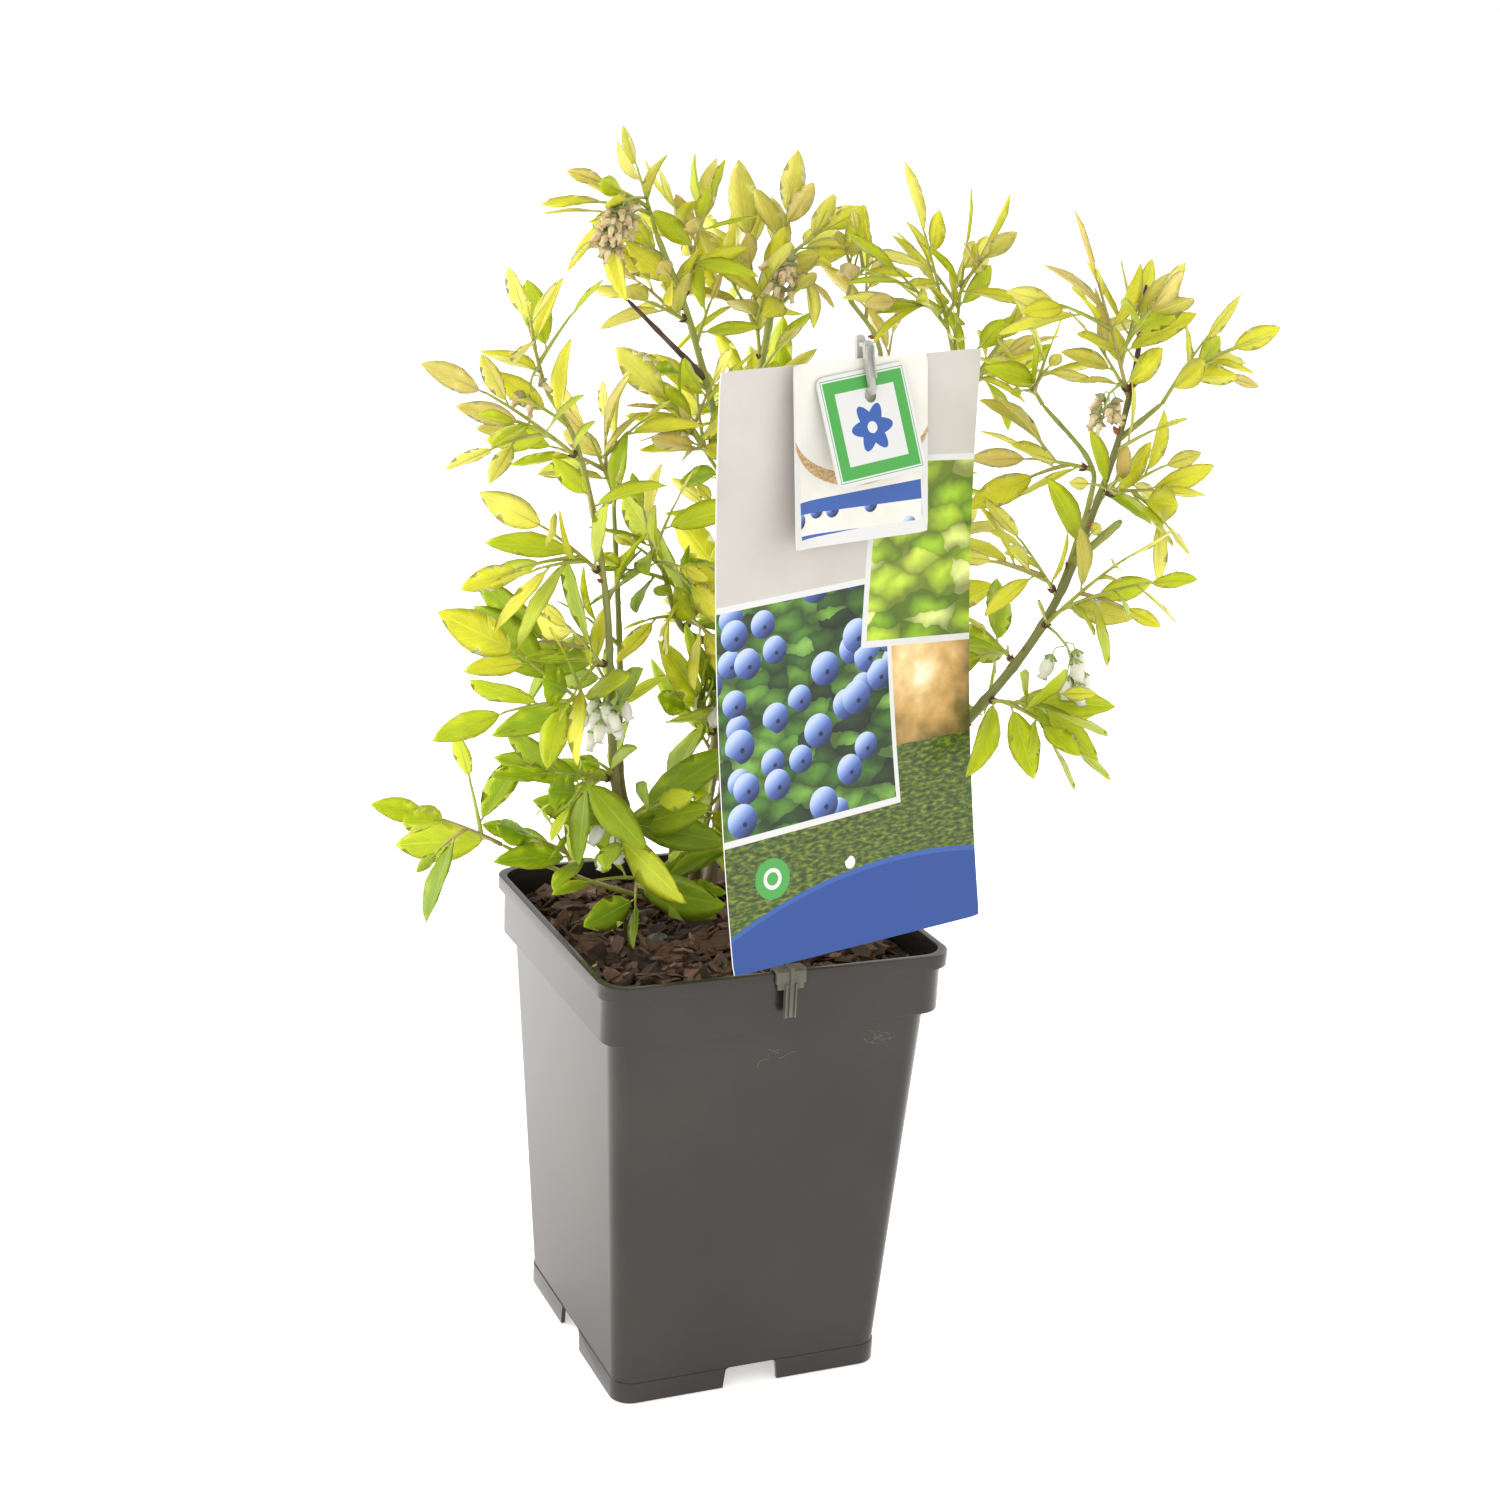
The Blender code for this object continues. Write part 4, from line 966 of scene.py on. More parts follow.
# How many twigs the fuller masses have
fullMasses = {"leaves_left_low": 4, "leaves_left_hang": 4, "leaves_centre": 5, "leaves_low_centre": 3,
              "leaves_cross_root": 5, "leaves_cross_tip": 5, "leaves_low_left": 3, "leaves_front_low": 3,
              "leaves_top_mid": 5, "leaves_top_mid_left": 5, "leaves_centre_high": 5, "leaves_left_inner": 4,
              "leaves_top_left": 4, "leaves_top_rear": 4, "leaves_right_top": 5, "leaves_right_mid": 5,
              "leaves_right_inner": 4, "leaves_right_inner_low": 3, "leaves_right_low_in": 3,
              "leaves_right_foot": 3, "leaves_right_flower": 4, "leaves_right_fork": 4,
              "leaves_back_right_top": 4, "leaves_right_rear_left": 4, "leaves_right_rear_low": 4}
# How far the leaves of a mass turn to the front, and how far apart they grow
showing = {"leaves_low_left": .6, "leaves_low_left_root": .6, "leaves_front_big": .5,
           "leaves_front_low": .5, "leaves_left_long": .4, "leaves_left_mid": .4, "leaves_left_upper": .3,
           "leaves_right_low_out": .4, "leaves_right_flower": .4, "leaves_right_fork": .3}
sparse = {"leaves_low_left": 2.3, "leaves_left_top": 1.7, "leaves_left_upper": 1.5,
          "leaves_left_long": 1.4, "leaves_left_mid": 1.45, "leaves_left_hang": 1.3,
          "leaves_left_low": 1.3, "leaves_right_low_out": 1.3, "leaves_right_flower": 1.2,
          "leaves_right_rear_low": 1.3, "leaves_right_fork": 1.25}
# Short leafy spurs straight on a limb: from where to where along it, and how many
spurs = {"cane_left": (.34, .93, 5), "cane_middle": (.36, .97, 5), "cane_centre": (.24, .96, 12),
         "cane_rear": (.32, .96, 8), "cane_right_rear": (.28, .95, 8), "cane_right": (.66, .93, 5),
         "cane_back": (.22, .95, 8), "cane_back_right": (.25, .95, 8), "bough_cross": (.5, .9, 2)}
bowsTried = ((0, 1), (.12, 1), (-.12, 1), (.25, 1), (-.25, 1), (0, -1), (.3, -1), (-.3, -1))


def spline(points, step):
    knots = [Vector(p) for p in points]
    knots = [2 * knots[0] - knots[1]] + knots + [2 * knots[-1] - knots[-2]]
    path = [knots[1]]
    for a, b, c, d in zip(knots, knots[1:], knots[2:], knots[3:]):
        parts = max(1, round((c - b).length / step))
        for i in range(1, parts + 1):
            t = i / parts
            path.append(.5 * (2 * b + (c - a) * t + (2 * a - 5 * b + 4 * c - d) * t * t
                              + (3 * b - a - 3 * c + d) * t ** 3))
    return path


def tube(path, radii, sides, relief=None):
    rings = []
    reference = Vector((1, 0, 0)) if abs((path[1] - path[0]).normalized().z) > .7 else up
    for i, point in enumerate(path):
        run = (path[min(i + 1, len(path) - 1)] - path[max(i - 1, 0)]).normalized()
        side = (reference - run * reference.dot(run)).normalized()
        other = run.cross(side)
        reference = side
        ring = []
        for k in range(sides):
            angle = math.tau * k / sides
            swell = relief(i, angle) if relief else 1
            ring.append(point + radii[i] * swell * (side * math.cos(angle) + other * math.sin(angle)))
        rings.append(ring)
    return loft(rings)


def taper(path, foot, tip):
    last = len(path) - 1
    return [foot + (tip - foot) * i / last for i in range(last + 1)]


def along(path, share):
    lengths = [(b - a).length for a, b in zip(path, path[1:])]
    left = sum(lengths) * share
    for i, length in enumerate(lengths):
        if left <= length or i == len(lengths) - 1:
            run = path[i + 1] - path[i]
            return path[i] + run * min(1, left / length), run.normalized()
        left -= length


def pathLength(path):
    return sum((b - a).length for a, b in zip(path, path[1:]))


class Space:
    # Every solid placed so far, to keep the next leaf or twig clear of it

    def __init__(self, room=8000):
        self.placed = []
        self.centres = np.zeros((room, 3))
        self.reaches = np.zeros(room)

    def sphere(self, verts):
        centre = sum(verts, Vector()) / len(verts)
        return centre, max((v - centre).length for v in verts)

    def add(self, owner, verts, faces):
        index = len(self.placed)
        self.centres[index], self.reaches[index] = self.sphere(verts)
        self.placed.append((owner, BVHTree.FromPolygons(verts, faces)))

    def addNode(self, name):
        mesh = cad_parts[name].data
        self.add(name, [v.co.copy() for v in mesh.vertices], [tuple(p.vertices) for p in mesh.polygons])

    def hits(self, verts, faces, skip=()):
        centre, reach = self.sphere(verts)
        count = len(self.placed)
        away = np.linalg.norm(self.centres[:count] - np.array(centre), axis=1)
        tree = BVHTree.FromPolygons(verts, faces)
        for index in np.nonzero(away < self.reaches[:count] + reach)[0]:
            owner, placed = self.placed[index]
            if owner not in skip and tree.overlap(placed):
                return True
        return False


def outside(point):
    return any(point[i] < growth["low"][i] or point[i] > growth["high"][i] for i in range(3))


def heightShare(z):
    low, high = growth["low"].z, growth["high"].z
    return min(1, max(0, (z - low) / (high - low)))


def byHeight(pair, z):
    return pair[0] + (pair[1] - pair[0]) * heightShare(z)


def limbPaths():
    paths = {}
    for name, (points, foot, tip) in canes.items():
        paths[name] = spline(points, growth["limbStep"])
    for name, (carrier, share, points, foot, tip) in boughs.items():
        root, _ = along(paths[carrier], share)
        paths[name] = spline([root] + points, growth["limbStep"])
    return paths


def twigPath(start, tip, bow, lastLeaf):
    g = growth
    reach = (tip - start).length
    side = (tip - start).cross(up).normalized()
    middle = start.lerp(tip, .5) + up * (bow[1] * g["twigBow"] * reach) + side * (bow[0] * reach)
    stop = 1 - lastLeaf / reach
    parts = max(2, round(reach * stop / g["twigStep"]))
    curve = []
    for i in range(parts + 1):
        t = stop * i / parts
        curve.append(start.lerp(middle, t).lerp(middle.lerp(tip, t), t))
    return curve


def twigSolid(path, grow=0.0, drop=0):
    radii = [r + grow for r in taper(path, growth["twigFoot"], growth["twigTip"])]
    return tube(path[drop:], radii[drop:], 3)


def freeTwig(space, name, foot, tip, full, drop):
    last = min(full * growth["lastLeaf"], (tip - foot).length * growth["lastShare"])
    for bow in bowsTried:
        path = twigPath(foot, tip, bow, last)
        if len(path) > drop + 1 and not space.hits(*twigSolid(path, growth["clear"], drop)):
            return path, tip, last
    return None


def growTwigs(space, paths):
    g = growth
    twigs = {}
    for name, (carrier, share, full, tips) in masses.items():
        goals = [Vector(tip) for tip in tips]
        root, _ = along(paths[carrier], share)
        last = full * g["lastLeaf"]
        found = [freeTwig(space, name, root, goals[0], full, 2)
                 or (twigPath(root, goals[0], (0, 1), last), goals[0], last)]
        paths[name] = found[0][0]
        for index, goal in enumerate(goals[1:]):
            foot, _ = along(found[0][0], g["forksAt"][index])
            found.append(freeTwig(space, name, foot, goal, full, 2))
        twigs[name] = [twig for twig in found if twig]
        for path, _, _ in twigs[name]:
            space.add(name, *twigSolid(path))
    draw = random.Random(g["seed"])
    for share in g["offshootsAt"]:
        for name, found in twigs.items():
            enough, full = fullMasses.get(name, g["twigsEnough"]), masses[name][2]
            for path, goal, _ in list(found):
                reach = g["offshootReach"] * (goal - along(path, share)[0]).length + full / 2
                twig = len(found) < enough and offshoot(space, name, path, share, reach, full, draw)
                if twig:
                    found.append(twig)
                    space.add(name, *twigSolid(twig[0]))
    for name, (first, final, count) in spurs.items():
        for k in range(count):
            share = first + (final - first) * k / (count - 1)
            spur = f"{name}_spur_{k}"
            reach = g["spurReach"] * draw.uniform(*g["spurVaries"])
            twig = offshoot(space, spur, paths[name], share, reach, g["spurLeaf"], draw)
            if twig:
                twigs[spur] = [twig]
                space.add(spur, *twigSolid(twig[0]))
    return twigs


def offshoot(space, name, path, share, reach, full, draw):
    g = growth
    foot, axis = along(path, share)
    side = axis.orthogonal().normalized()
    other = axis.cross(side)
    turn = draw.uniform(0, math.tau)
    for _ in range(g["offshootsTried"]):
        turn += goldenAngle
        around = side * math.cos(turn) + other * math.sin(turn)
        tip = foot + reach * (axis * math.cos(g["offshootSpread"]) + around * math.sin(g["offshootSpread"]))
        twig = None if outside(tip) else freeTwig(space, name, foot, tip, full, 2)
        if twig:
            return twig
    return None


def leafGuard(base, run, face, length, grow=0.0, inner=0.0):
    g = growth
    side = run.cross(face).normalized()
    width = g["leafWidth"] * length / 2 + grow
    shape = g["leafShape"]
    tip = Vector((0, length + grow, -g["leafDroop"] * length))
    top = shape * tip.z + g["leafThick"] + grow
    lift = top + width * math.tan(g["leafFold"])
    half = g["stemHalf"] + grow
    near, level = inner * length, inner * tip.z
    local = [Vector((-half, near, level + half)), Vector((half, near, level + half)),
             Vector((0, near, level - half)), Vector((-width, shape * length, lift)),
             Vector((width, shape * length, lift)), tip, Vector((0, shape * length, top))]
    verts = [base + side * v.x + run * v.y + face * v.z for v in local]
    return verts, [(0, 1, 2), (0, 3, 6), (3, 5, 6), (5, 4, 6), (4, 1, 6), (1, 0, 6),
                   (2, 3, 0), (2, 5, 3), (2, 4, 5), (2, 1, 4)]


def placeLeaf(space, name, leaves, base, run, axis, length, draw, share):
    g = growth
    outward = Vector((base.x - g["heart"].x, base.y - g["heart"].y, 0)).normalized()
    wish = up * g["facesUp"] + axis * g["facesTip"] + outward * g["facesOut"] + front * showing.get(name, 0)
    face = (wish - run * wish.dot(run)).normalized()
    face = Matrix.Rotation(draw.uniform(-g["roll"], g["roll"]), 3, run) @ face
    if outside(base + run * length) or \
       share < 1 and any(outside(v) for v in leafGuard(base, run, face, length, g["clear"])[0]):
        return False
    if space.hits(*leafGuard(base, run, face, length, g["clear"]), (name,)) or \
       space.hits(*leafGuard(base, run, face, length, g["clear"], g["core"])):
        return False
    space.add(name, *leafGuard(base, run, face, length))
    leaves.append((base, run, face, length, share))
    return True


def leafyTwig(space, name, leaves, path, full, draw):
    g = growth
    total = pathLength(path)
    turn = draw.uniform(0, math.tau)
    distance = g["firstLeaf"]
    while distance < total - g["pitch"][1] / 3:
        share = distance / total
        base, axis = along(path, share)
        wave = math.sin(math.pi * (g["sizeFrom"] + g["sizeSpan"] * share))
        size = byHeight(g["leafScale"], base.z) * full * (g["smallest"] + (1 - g["smallest"]) * wave) * \
            draw.uniform(1 - g["sizeVaries"], 1 + g["sizeVaries"])
        spread = g["spreadFoot"] + (g["spreadTip"] - g["spreadFoot"]) * share
        spread += draw.uniform(-g["spreadVaries"], g["spreadVaries"])
        side = axis.orthogonal().normalized()
        other = axis.cross(side)

        def heading(angle):
            around = side * math.cos(angle) + other * math.sin(angle)
            return (axis * math.cos(spread) + around * math.sin(spread) - up * g["sag"]).normalized()

        for shrink in (1, g["shortLeaf"]):
            if any(placeLeaf(space, name, leaves, base, heading(turn + extra), axis, size * shrink, draw,
                             share) for extra in g["turnsTried"]):
                break
        turn += goldenAngle
        distance += byHeight(g["pitch"], base.z) * sparse.get(name, 1) * \
            draw.uniform(1 - g["pitchVaries"], 1 + g["pitchVaries"])


# Leaves: blades of a few dozen faces, folded, quilted between their veins, closed underneath

leafForm = {
    "stations": (.05, .16, .31, .47, .63, .79, .92), "columns": (-1, -.5, 0, .5, 1),
    "swell": .95, "blunt": .74, "narrow": .10, "thick": .015, "quilt": .0035, "wave": .007, "tooth": .003,
    "skew": .004, "ribFoot": .00060, "ribTip": .00014, "ribStops": (0, .2, .45, .7, .94), "ribDeep": .4,
    "tipKinds": (0, 2, 4), "twistFrom": .3, "waveTurn": 2.3, "skewTurn": 2.9,
    "kinds": [(.41, 10, .05, 0), (.38, 18, .10, .25), (.45, 6, .02, -.2), (.35, 24, .14, .15),
              (.42, 13, -.03, -.3), (.39, 4, .18, .2)],
}


def bladeHalf(width, t):
    f = leafForm
    full = width / 2 * math.sin(math.pi * t ** f["swell"]) ** f["blunt"]
    return full * (1 - f["narrow"] * max(0, t - .5) / .5)


def leafBlade(kind):
    f = leafForm
    width, fold, droop, twist = f["kinds"][kind]
    verts = [Vector((0, 0, 0)), Vector((0, 1, -droop))]
    spots = [(.5, 0), (.5, 1)]
    for row, t in enumerate(f["stations"]):
        half = bladeHalf(width, t)
        for column in f["columns"]:
            tooth = f["tooth"] * (1 if (row + column) % 2 else -1) if abs(column) == 1 else 0
            x = column * half * (1 + tooth)
            z = abs(x) * math.tan(math.radians(fold)) - droop * t * t + x * twist * (t - f["twistFrom"])
            if abs(column) == 1:
                z += f["wave"] * math.sin(f["waveTurn"] * row + kind + column)
            elif column:
                z += f["quilt"] * (1 if row % 2 else -1)
            skew = f["skew"] * column * math.sin(row * f["skewTurn"] + kind)
            verts.append(Vector((x, t + skew, z)))
            spots.append((.5 + column / 2, t))
        verts.append(Vector((0, t, -droop * t * t - f["thick"])))
        spots.append((.5, t))
    faces = []
    starts = range(2, len(verts), 6)
    for low, high in zip(starts, starts[1:]):
        for c in range(4):
            faces.append((low + c, low + c + 1, high + c + 1, high + c))
        faces.append((high, high + 5, low + 5, low))
        faces.append((high + 5, high + 4, low + 4, low + 5))
    for end, row, flip in ((0, 2, 1), (1, starts[-1], -1)):
        for c in range(4):
            faces.append((end, row + c + 1, row + c)[::flip])
        faces.append((end, row, row + 5)[::flip])
        faces.append((end, row + 5, row + 4)[::flip])
    return verts, faces, spots


def leafRib(kind, length, petiole):
    f = leafForm
    droop = f["kinds"][kind][2]
    points = [Vector((0, -petiole / length, 0))]
    for t in f["ribStops"]:
        points.append(Vector((0, t, -droop * t * t - f["thick"] * f["ribDeep"])))
    radii = [r / length for r in taper(points, f["ribFoot"], f["ribTip"])]
    return tube(points, radii, 3)


def leafPlace(base, run, face, length, petiole):
    side = run.cross(face).normalized()
    place = Matrix((side * length, run * length, face * length)).transposed().to_4x4()
    place.translation = base + run * petiole
    return place


tints = {
    "deep": (.19, .28, .012), "mid": (.29, .38, .014), "fresh": (.44, .50, .020), "yellow": (.63, .60, .045),
    "pale": (.76, .70, .14), "khaki": (.54, .47, .10), "bronze": (.62, .48, .16), "rust": (.52, .35, .12),
}


# How sprays are tinted up to each share of the height, and the same for the young leaves at their tips
sprayTints = [
    (.26, {"deep": 38, "mid": 50, "fresh": 12}), (.50, {"deep": 8, "mid": 34, "fresh": 48, "yellow": 10}),
    (.72, {"mid": 12, "fresh": 42, "yellow": 36, "khaki": 10}),
    (9, {"fresh": 22, "yellow": 48, "khaki": 20, "bronze": 10}),
]
tipTints = {
    "tips": .72, "warmAbove": .6, "warm": [(.16, "khaki"), (.42, "bronze"), (.46, "rust")],
    "light": [(.5, "pale"), (.35, "yellow"), (-1, "fresh")], "chance": .72, "fewBelow": .3, "few": .36,
    "yellowSide": .9, "varies": .08,
}


def sprayTint(spot, draw):
    k = tipTints
    sunny = max(0, spot.x - growth["heart"].x)
    level = heightShare(spot.z) + k["yellowSide"] * sunny + draw.gauss(0, k["varies"])
    chances = next(row for top, row in sprayTints if level < top)
    return draw.choices(list(chances), list(chances.values()))[0]


def tipTint(spot, spray, draw):
    k = tipTints
    level = heightShare(spot.z)
    chance = draw.random()
    if level > k["warmAbove"] and chance < k["warm"][-1][0]:
        return next(tint for most, tint in k["warm"] if chance < most)
    if chance < (k["chance"] if level > k["fewBelow"] else k["few"]):
        return next(tint for least, tint in k["light"] if level > least)
    return spray


def buildFoliage(space, paths):
    twigs = growTwigs(space, paths)
    blades = {tint: ([], [], []) for tint in tints}
    ribs = {"green": ([], []), "warm": ([], [])}
    shoots = {"green": ([], []), "warm": ([], [])}
    forms = [leafBlade(kind) for kind in range(len(leafForm["kinds"]))]
    names = list(twigs)
    draw = random.Random(growth["seed"] * 7)
    grown = {name: [] for name in names}
    for name in names:
        for path, goal, last in twigs[name]:
            run = (goal - path[-1]).normalized()
            leaves = []
            any(placeLeaf(space, name, leaves, path[-1], run, run, last * shrink, draw, 1)
                for shrink in growth["tipShrinks"])
            grown[name].append(leaves)
    count = 0
    for name in names:
        for (path, _, _), leaves in zip(twigs[name], grown[name]):
            full = masses[name][2] if name in masses else growth["spurLeaf"]
            leafyTwig(space, name, leaves, path, full, draw)
            spray = sprayTint(path[-1], draw)
            warm = spray in ("bronze", "rust") or draw.random() < growth["warmShoots"]
            family = "warm" if warm else "green"
            addShape(shoots[family], *tube(path, taper(path, growth["twigFoot"], growth["twigTip"]),
                                           growth["twigSides"]))
            for base, run, face, length, share in leaves:
                tint = tipTint(base, spray, draw) if share > tipTints["tips"] else spray
                kind = draw.choice(leafForm["tipKinds"]) if share == 1 else draw.randrange(len(forms))
                blade = length - growth["petiole"]
                place = leafPlace(base, run, face, blade, growth["petiole"])
                verts, faces, spots = forms[kind]
                while any(outside(place @ v) for v in verts):
                    place = place @ Matrix.Scale(growth["boxShrink"], 4)
                addShape(blades[tint], verts, faces, place, spots)
                addShape(ribs["warm" if tint in ("bronze", "rust") else "green"],
                         *leafRib(kind, blade, growth["petiole"]), place)
                count += 1
    print("leaves:", count, "twigs:", sum(len(found) for found in twigs.values()))
    for tint, (verts, faces, spots) in blades.items():
        if verts:
            finishPiece(meshPiece("leaves_tint_" + tint, verts, faces, True, spots),
                        materials["leaf_" + tint])
    for family in ("green", "warm"):
        finishPiece(meshPiece("leaf_ribs_" + family, *ribs[family]), materials["rib_" + family])
        finishPiece(meshPiece("shoots_" + family, *shoots[family]), materials["shoot_" + family])
    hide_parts(*masses)


# Canes and boughs with their bark: ridged, swollen at the nodes, with bud scales

limbForm = {
    "slim": {"cane_left": .70, "cane_middle": .68, "cane_centre": .85, "cane_back": .8,
             "cane_back_right": .8, "cane_right_rear": .8, "cane_right": .84, "bough_fork": .85,
             "bough_inner": .85, "bough_low_left": .68, "bough_cross": .8},
    "looks": {"cane_right": "barkRight", "bough_low_left": "shoot_green"},
    "sides": 14, "node": .019, "swell": .20, "swellReach": .0022, "ridge": .07, "ridgeGrain": (2.2, 55),
    "fine": .03, "fineGrain": (5, 210), "end": .55, "sink": .004,
    "bud": .0034, "budFrom": 2, "budLean": .8, "budSunk": .7, "budSizes": (.6, 1.1),
    "budRings": ((0, .26), (.35, .34), (.75, .2), (1, .03)), "budSides": 6,
    "scales": 5, "scaleSize": .0028, "scaleFrom": .0018, "scaleAt": .04, "scaleTurns": .3, "scaleOut": .45,
    "scaleFlat": .5, "scaleSizes": (.8, 1.2),
}


def barkTube(name, path, foot, tip):
    f = limbForm
    far = [0]
    for a, b in zip(path, path[1:]):
        far.append(far[-1] + (b - a).length)
    seed = sum(map(ord, name)) % 97

    def grain(s, angle, around, lengthwise):
        spot = (around * math.cos(angle), around * math.sin(angle), s * lengthwise + seed)
        return noise.noise(Vector(spot))

    def relief(i, angle):
        s = far[i]
        nodeAt = (s + seed * .001) % f["node"] - f["node"] / 2
        swell = f["swell"] * math.exp(-(nodeAt / f["swellReach"]) ** 2)
        ridge = grain(s, angle, *f["ridgeGrain"])
        fine = grain(s, angle, *f["fineGrain"])
        end = 1 if i < len(path) - 1 else f["end"]
        return (1 + swell + f["ridge"] * ridge + f["fine"] * fine) * end

    return tube(path, taper(path, foot, tip), f["sides"], relief)


def budShape():
    turns = [math.tau * k / limbForm["budSides"] for k in range(limbForm["budSides"])]
    return loft([[Vector((r * math.cos(turn), r * math.sin(turn), t)) for turn in turns]
                 for t, r in limbForm["budRings"]])


def buildLimbs(paths):
    f = limbForm
    draw = random.Random(growth["seed"] * 3)
    buds, scales = ([], []), ([], [])
    form = budShape()
    rows = [(name, row[1], row[2], None) for name, row in canes.items()]
    rows += [(name, row[3], row[4], row[0]) for name, row in boughs.items()]
    for name, foot, tip, carrier in rows:
        foot, tip = foot * f["slim"].get(name, 1), tip * f["slim"].get(name, 1)
        path = list(paths[name])
        if carrier is None:
            path[0] = path[0] - (path[1] - path[0]).normalized() * f["sink"]
        verts, faces = barkTube(name, path, foot, tip)
        dead = "dead" in name
        look = "dead" if dead else f["looks"].get(name, "bark")
        finishPiece(meshPiece("bark_" + name, verts, faces), materials[look],
                    [name])
        total = pathLength(path)
        for mass, (holder, share, _, _) in masses.items():
            if holder == name and share < 1:
                addScales(scales, form, paths[mass], draw)
        for k in range(f["budFrom"], int(total / f["node"])):
            share = k * f["node"] / total
            base, axis = along(path, share)
            around = Matrix.Rotation(goldenAngle * k, 3, axis) @ axis.orthogonal().normalized()
            radius = foot + (tip - foot) * share
            run = (axis * f["budLean"] + around).normalized()
            side = run.orthogonal().normalized()
            size = f["bud"] * draw.uniform(*f["budSizes"])
            place = Matrix((side * size, run.cross(side) * size, run * size)).transposed().to_4x4()
            place.translation = base + around * radius * f["budSunk"]
            addShape(buds, *form, place)
    finishPiece(meshPiece("buds", *buds), materials["bud"])
    finishPiece(meshPiece("bud_scales", *scales), materials["scale"])


def addScales(heap, form, route, draw):
    f = limbForm
    base, axis = along(route, f["scaleAt"])
    base = base + axis * f["scaleFrom"]
    side = axis.orthogonal().normalized()
    for k in range(f["scales"]):
        turn = math.tau * k / f["scales"] + draw.uniform(-f["scaleTurns"], f["scaleTurns"])
        around = Matrix.Rotation(turn, 3, axis) @ side
        run = (axis + around * f["scaleOut"]).normalized()
        size = f["scaleSize"] * draw.uniform(*f["scaleSizes"])
        flat = run.cross(around).normalized()
        across = run.cross(flat) * size * f["scaleFlat"]
        place = Matrix((flat * size, across, run * size)).transposed().to_4x4()
        place.translation = base + around * growth["twigFoot"] * f["budSunk"]
        addShape(heap, *form, place)


# Blossom: white bells in green cups, and faded bunches

blossomForm = {
    "white": [(0, 0), (.0013, -.0001), (.0023, -.0012), (.0029, -.0036), (.0026, -.0062), (.0017, -.0078),
              (.0024, -.0089), (.0013, -.0080), (.0006, -.0050)],
    "faded": [(0, 0), (.0010, -.0002), (.0015, -.0012), (.0016, -.0026), (.0011, -.0040), (.0008, -.0052),
              (.0012, -.0062), (.0004, -.0056)],
    "cup": [(.0004, .0014), (.0013, .0006), (.0024, -.0010), (.0013, -.0004)],
    "sides": 8, "cupSides": 10, "lobes": {"white": 0, "faded": .10}, "cupLobes": .35,
    "stalk": .00030, "stalkLong": {"white": (.004, .008), "faded": (.003, .006)},
    "stalkBend": .6, "stalkTurn": .5, "stalkEnd": .5, "hang": {"white": (.2, .6), "faded": (.2, 2.0)},
    "spine": ((0, 0), (.4, 0), (.8, .12), (1, .45), (1.05, .9)), "spineRadii": (.0007, .0004),
    "sizes": (.85, 1.1), "sink": .0008, "spread": .8, "ahead": .6, "rise": (-.5, .3), "from": .40,
    "span": .60, "thinnest": .0001,
    "spots": [
        ("leaves_top_left", .55, (-.85, -.5, .05), "faded", 30, .020),
        ("leaves_top_rear", .62, (-.3, -.9, -.1), "faded", 15, .012),
        ("leaves_right_top", .15, (-.9, -.4, -.2), "faded", 9, .012),
        ("leaves_left_top", .35, (-.6, -.6, -.4), "faded", 3, .008),
        ("cane_left", .50, (-.5, -.8, 0), "white", 10, .012),
        ("cane_left", .28, (-.5, -.9, .1), "white", 5, .013),
        ("cane_centre", .37, (-.6, -.7, 0), "white", 4, .013),
        ("leaves_right_low_out", .10, (.45, -.5, -.4), "white", 10, .014),
        ("leaves_back_mid", .5, (0, .8, -.4), "white", 6, .010),
        ("leaves_back_top", .4, (.2, .8, -.2), "faded", 8, .010),
        ("leaves_back_right_low", .5, (.6, .5, -.4), "white", 6, .010),
    ],
}


def turned(profile, sides, lobes=0.0):
    # A turned form with five soft lobes
    rings = []
    for radius, z in profile:
        ring = []
        for k in range(sides):
            angle = math.tau * k / sides
            reach = max(radius, blossomForm["thinnest"]) * (1 + lobes * math.cos(5 * angle))
            ring.append(Vector((reach * math.cos(angle), reach * math.sin(angle), z)))
        rings.append(ring)
    return loft(rings)


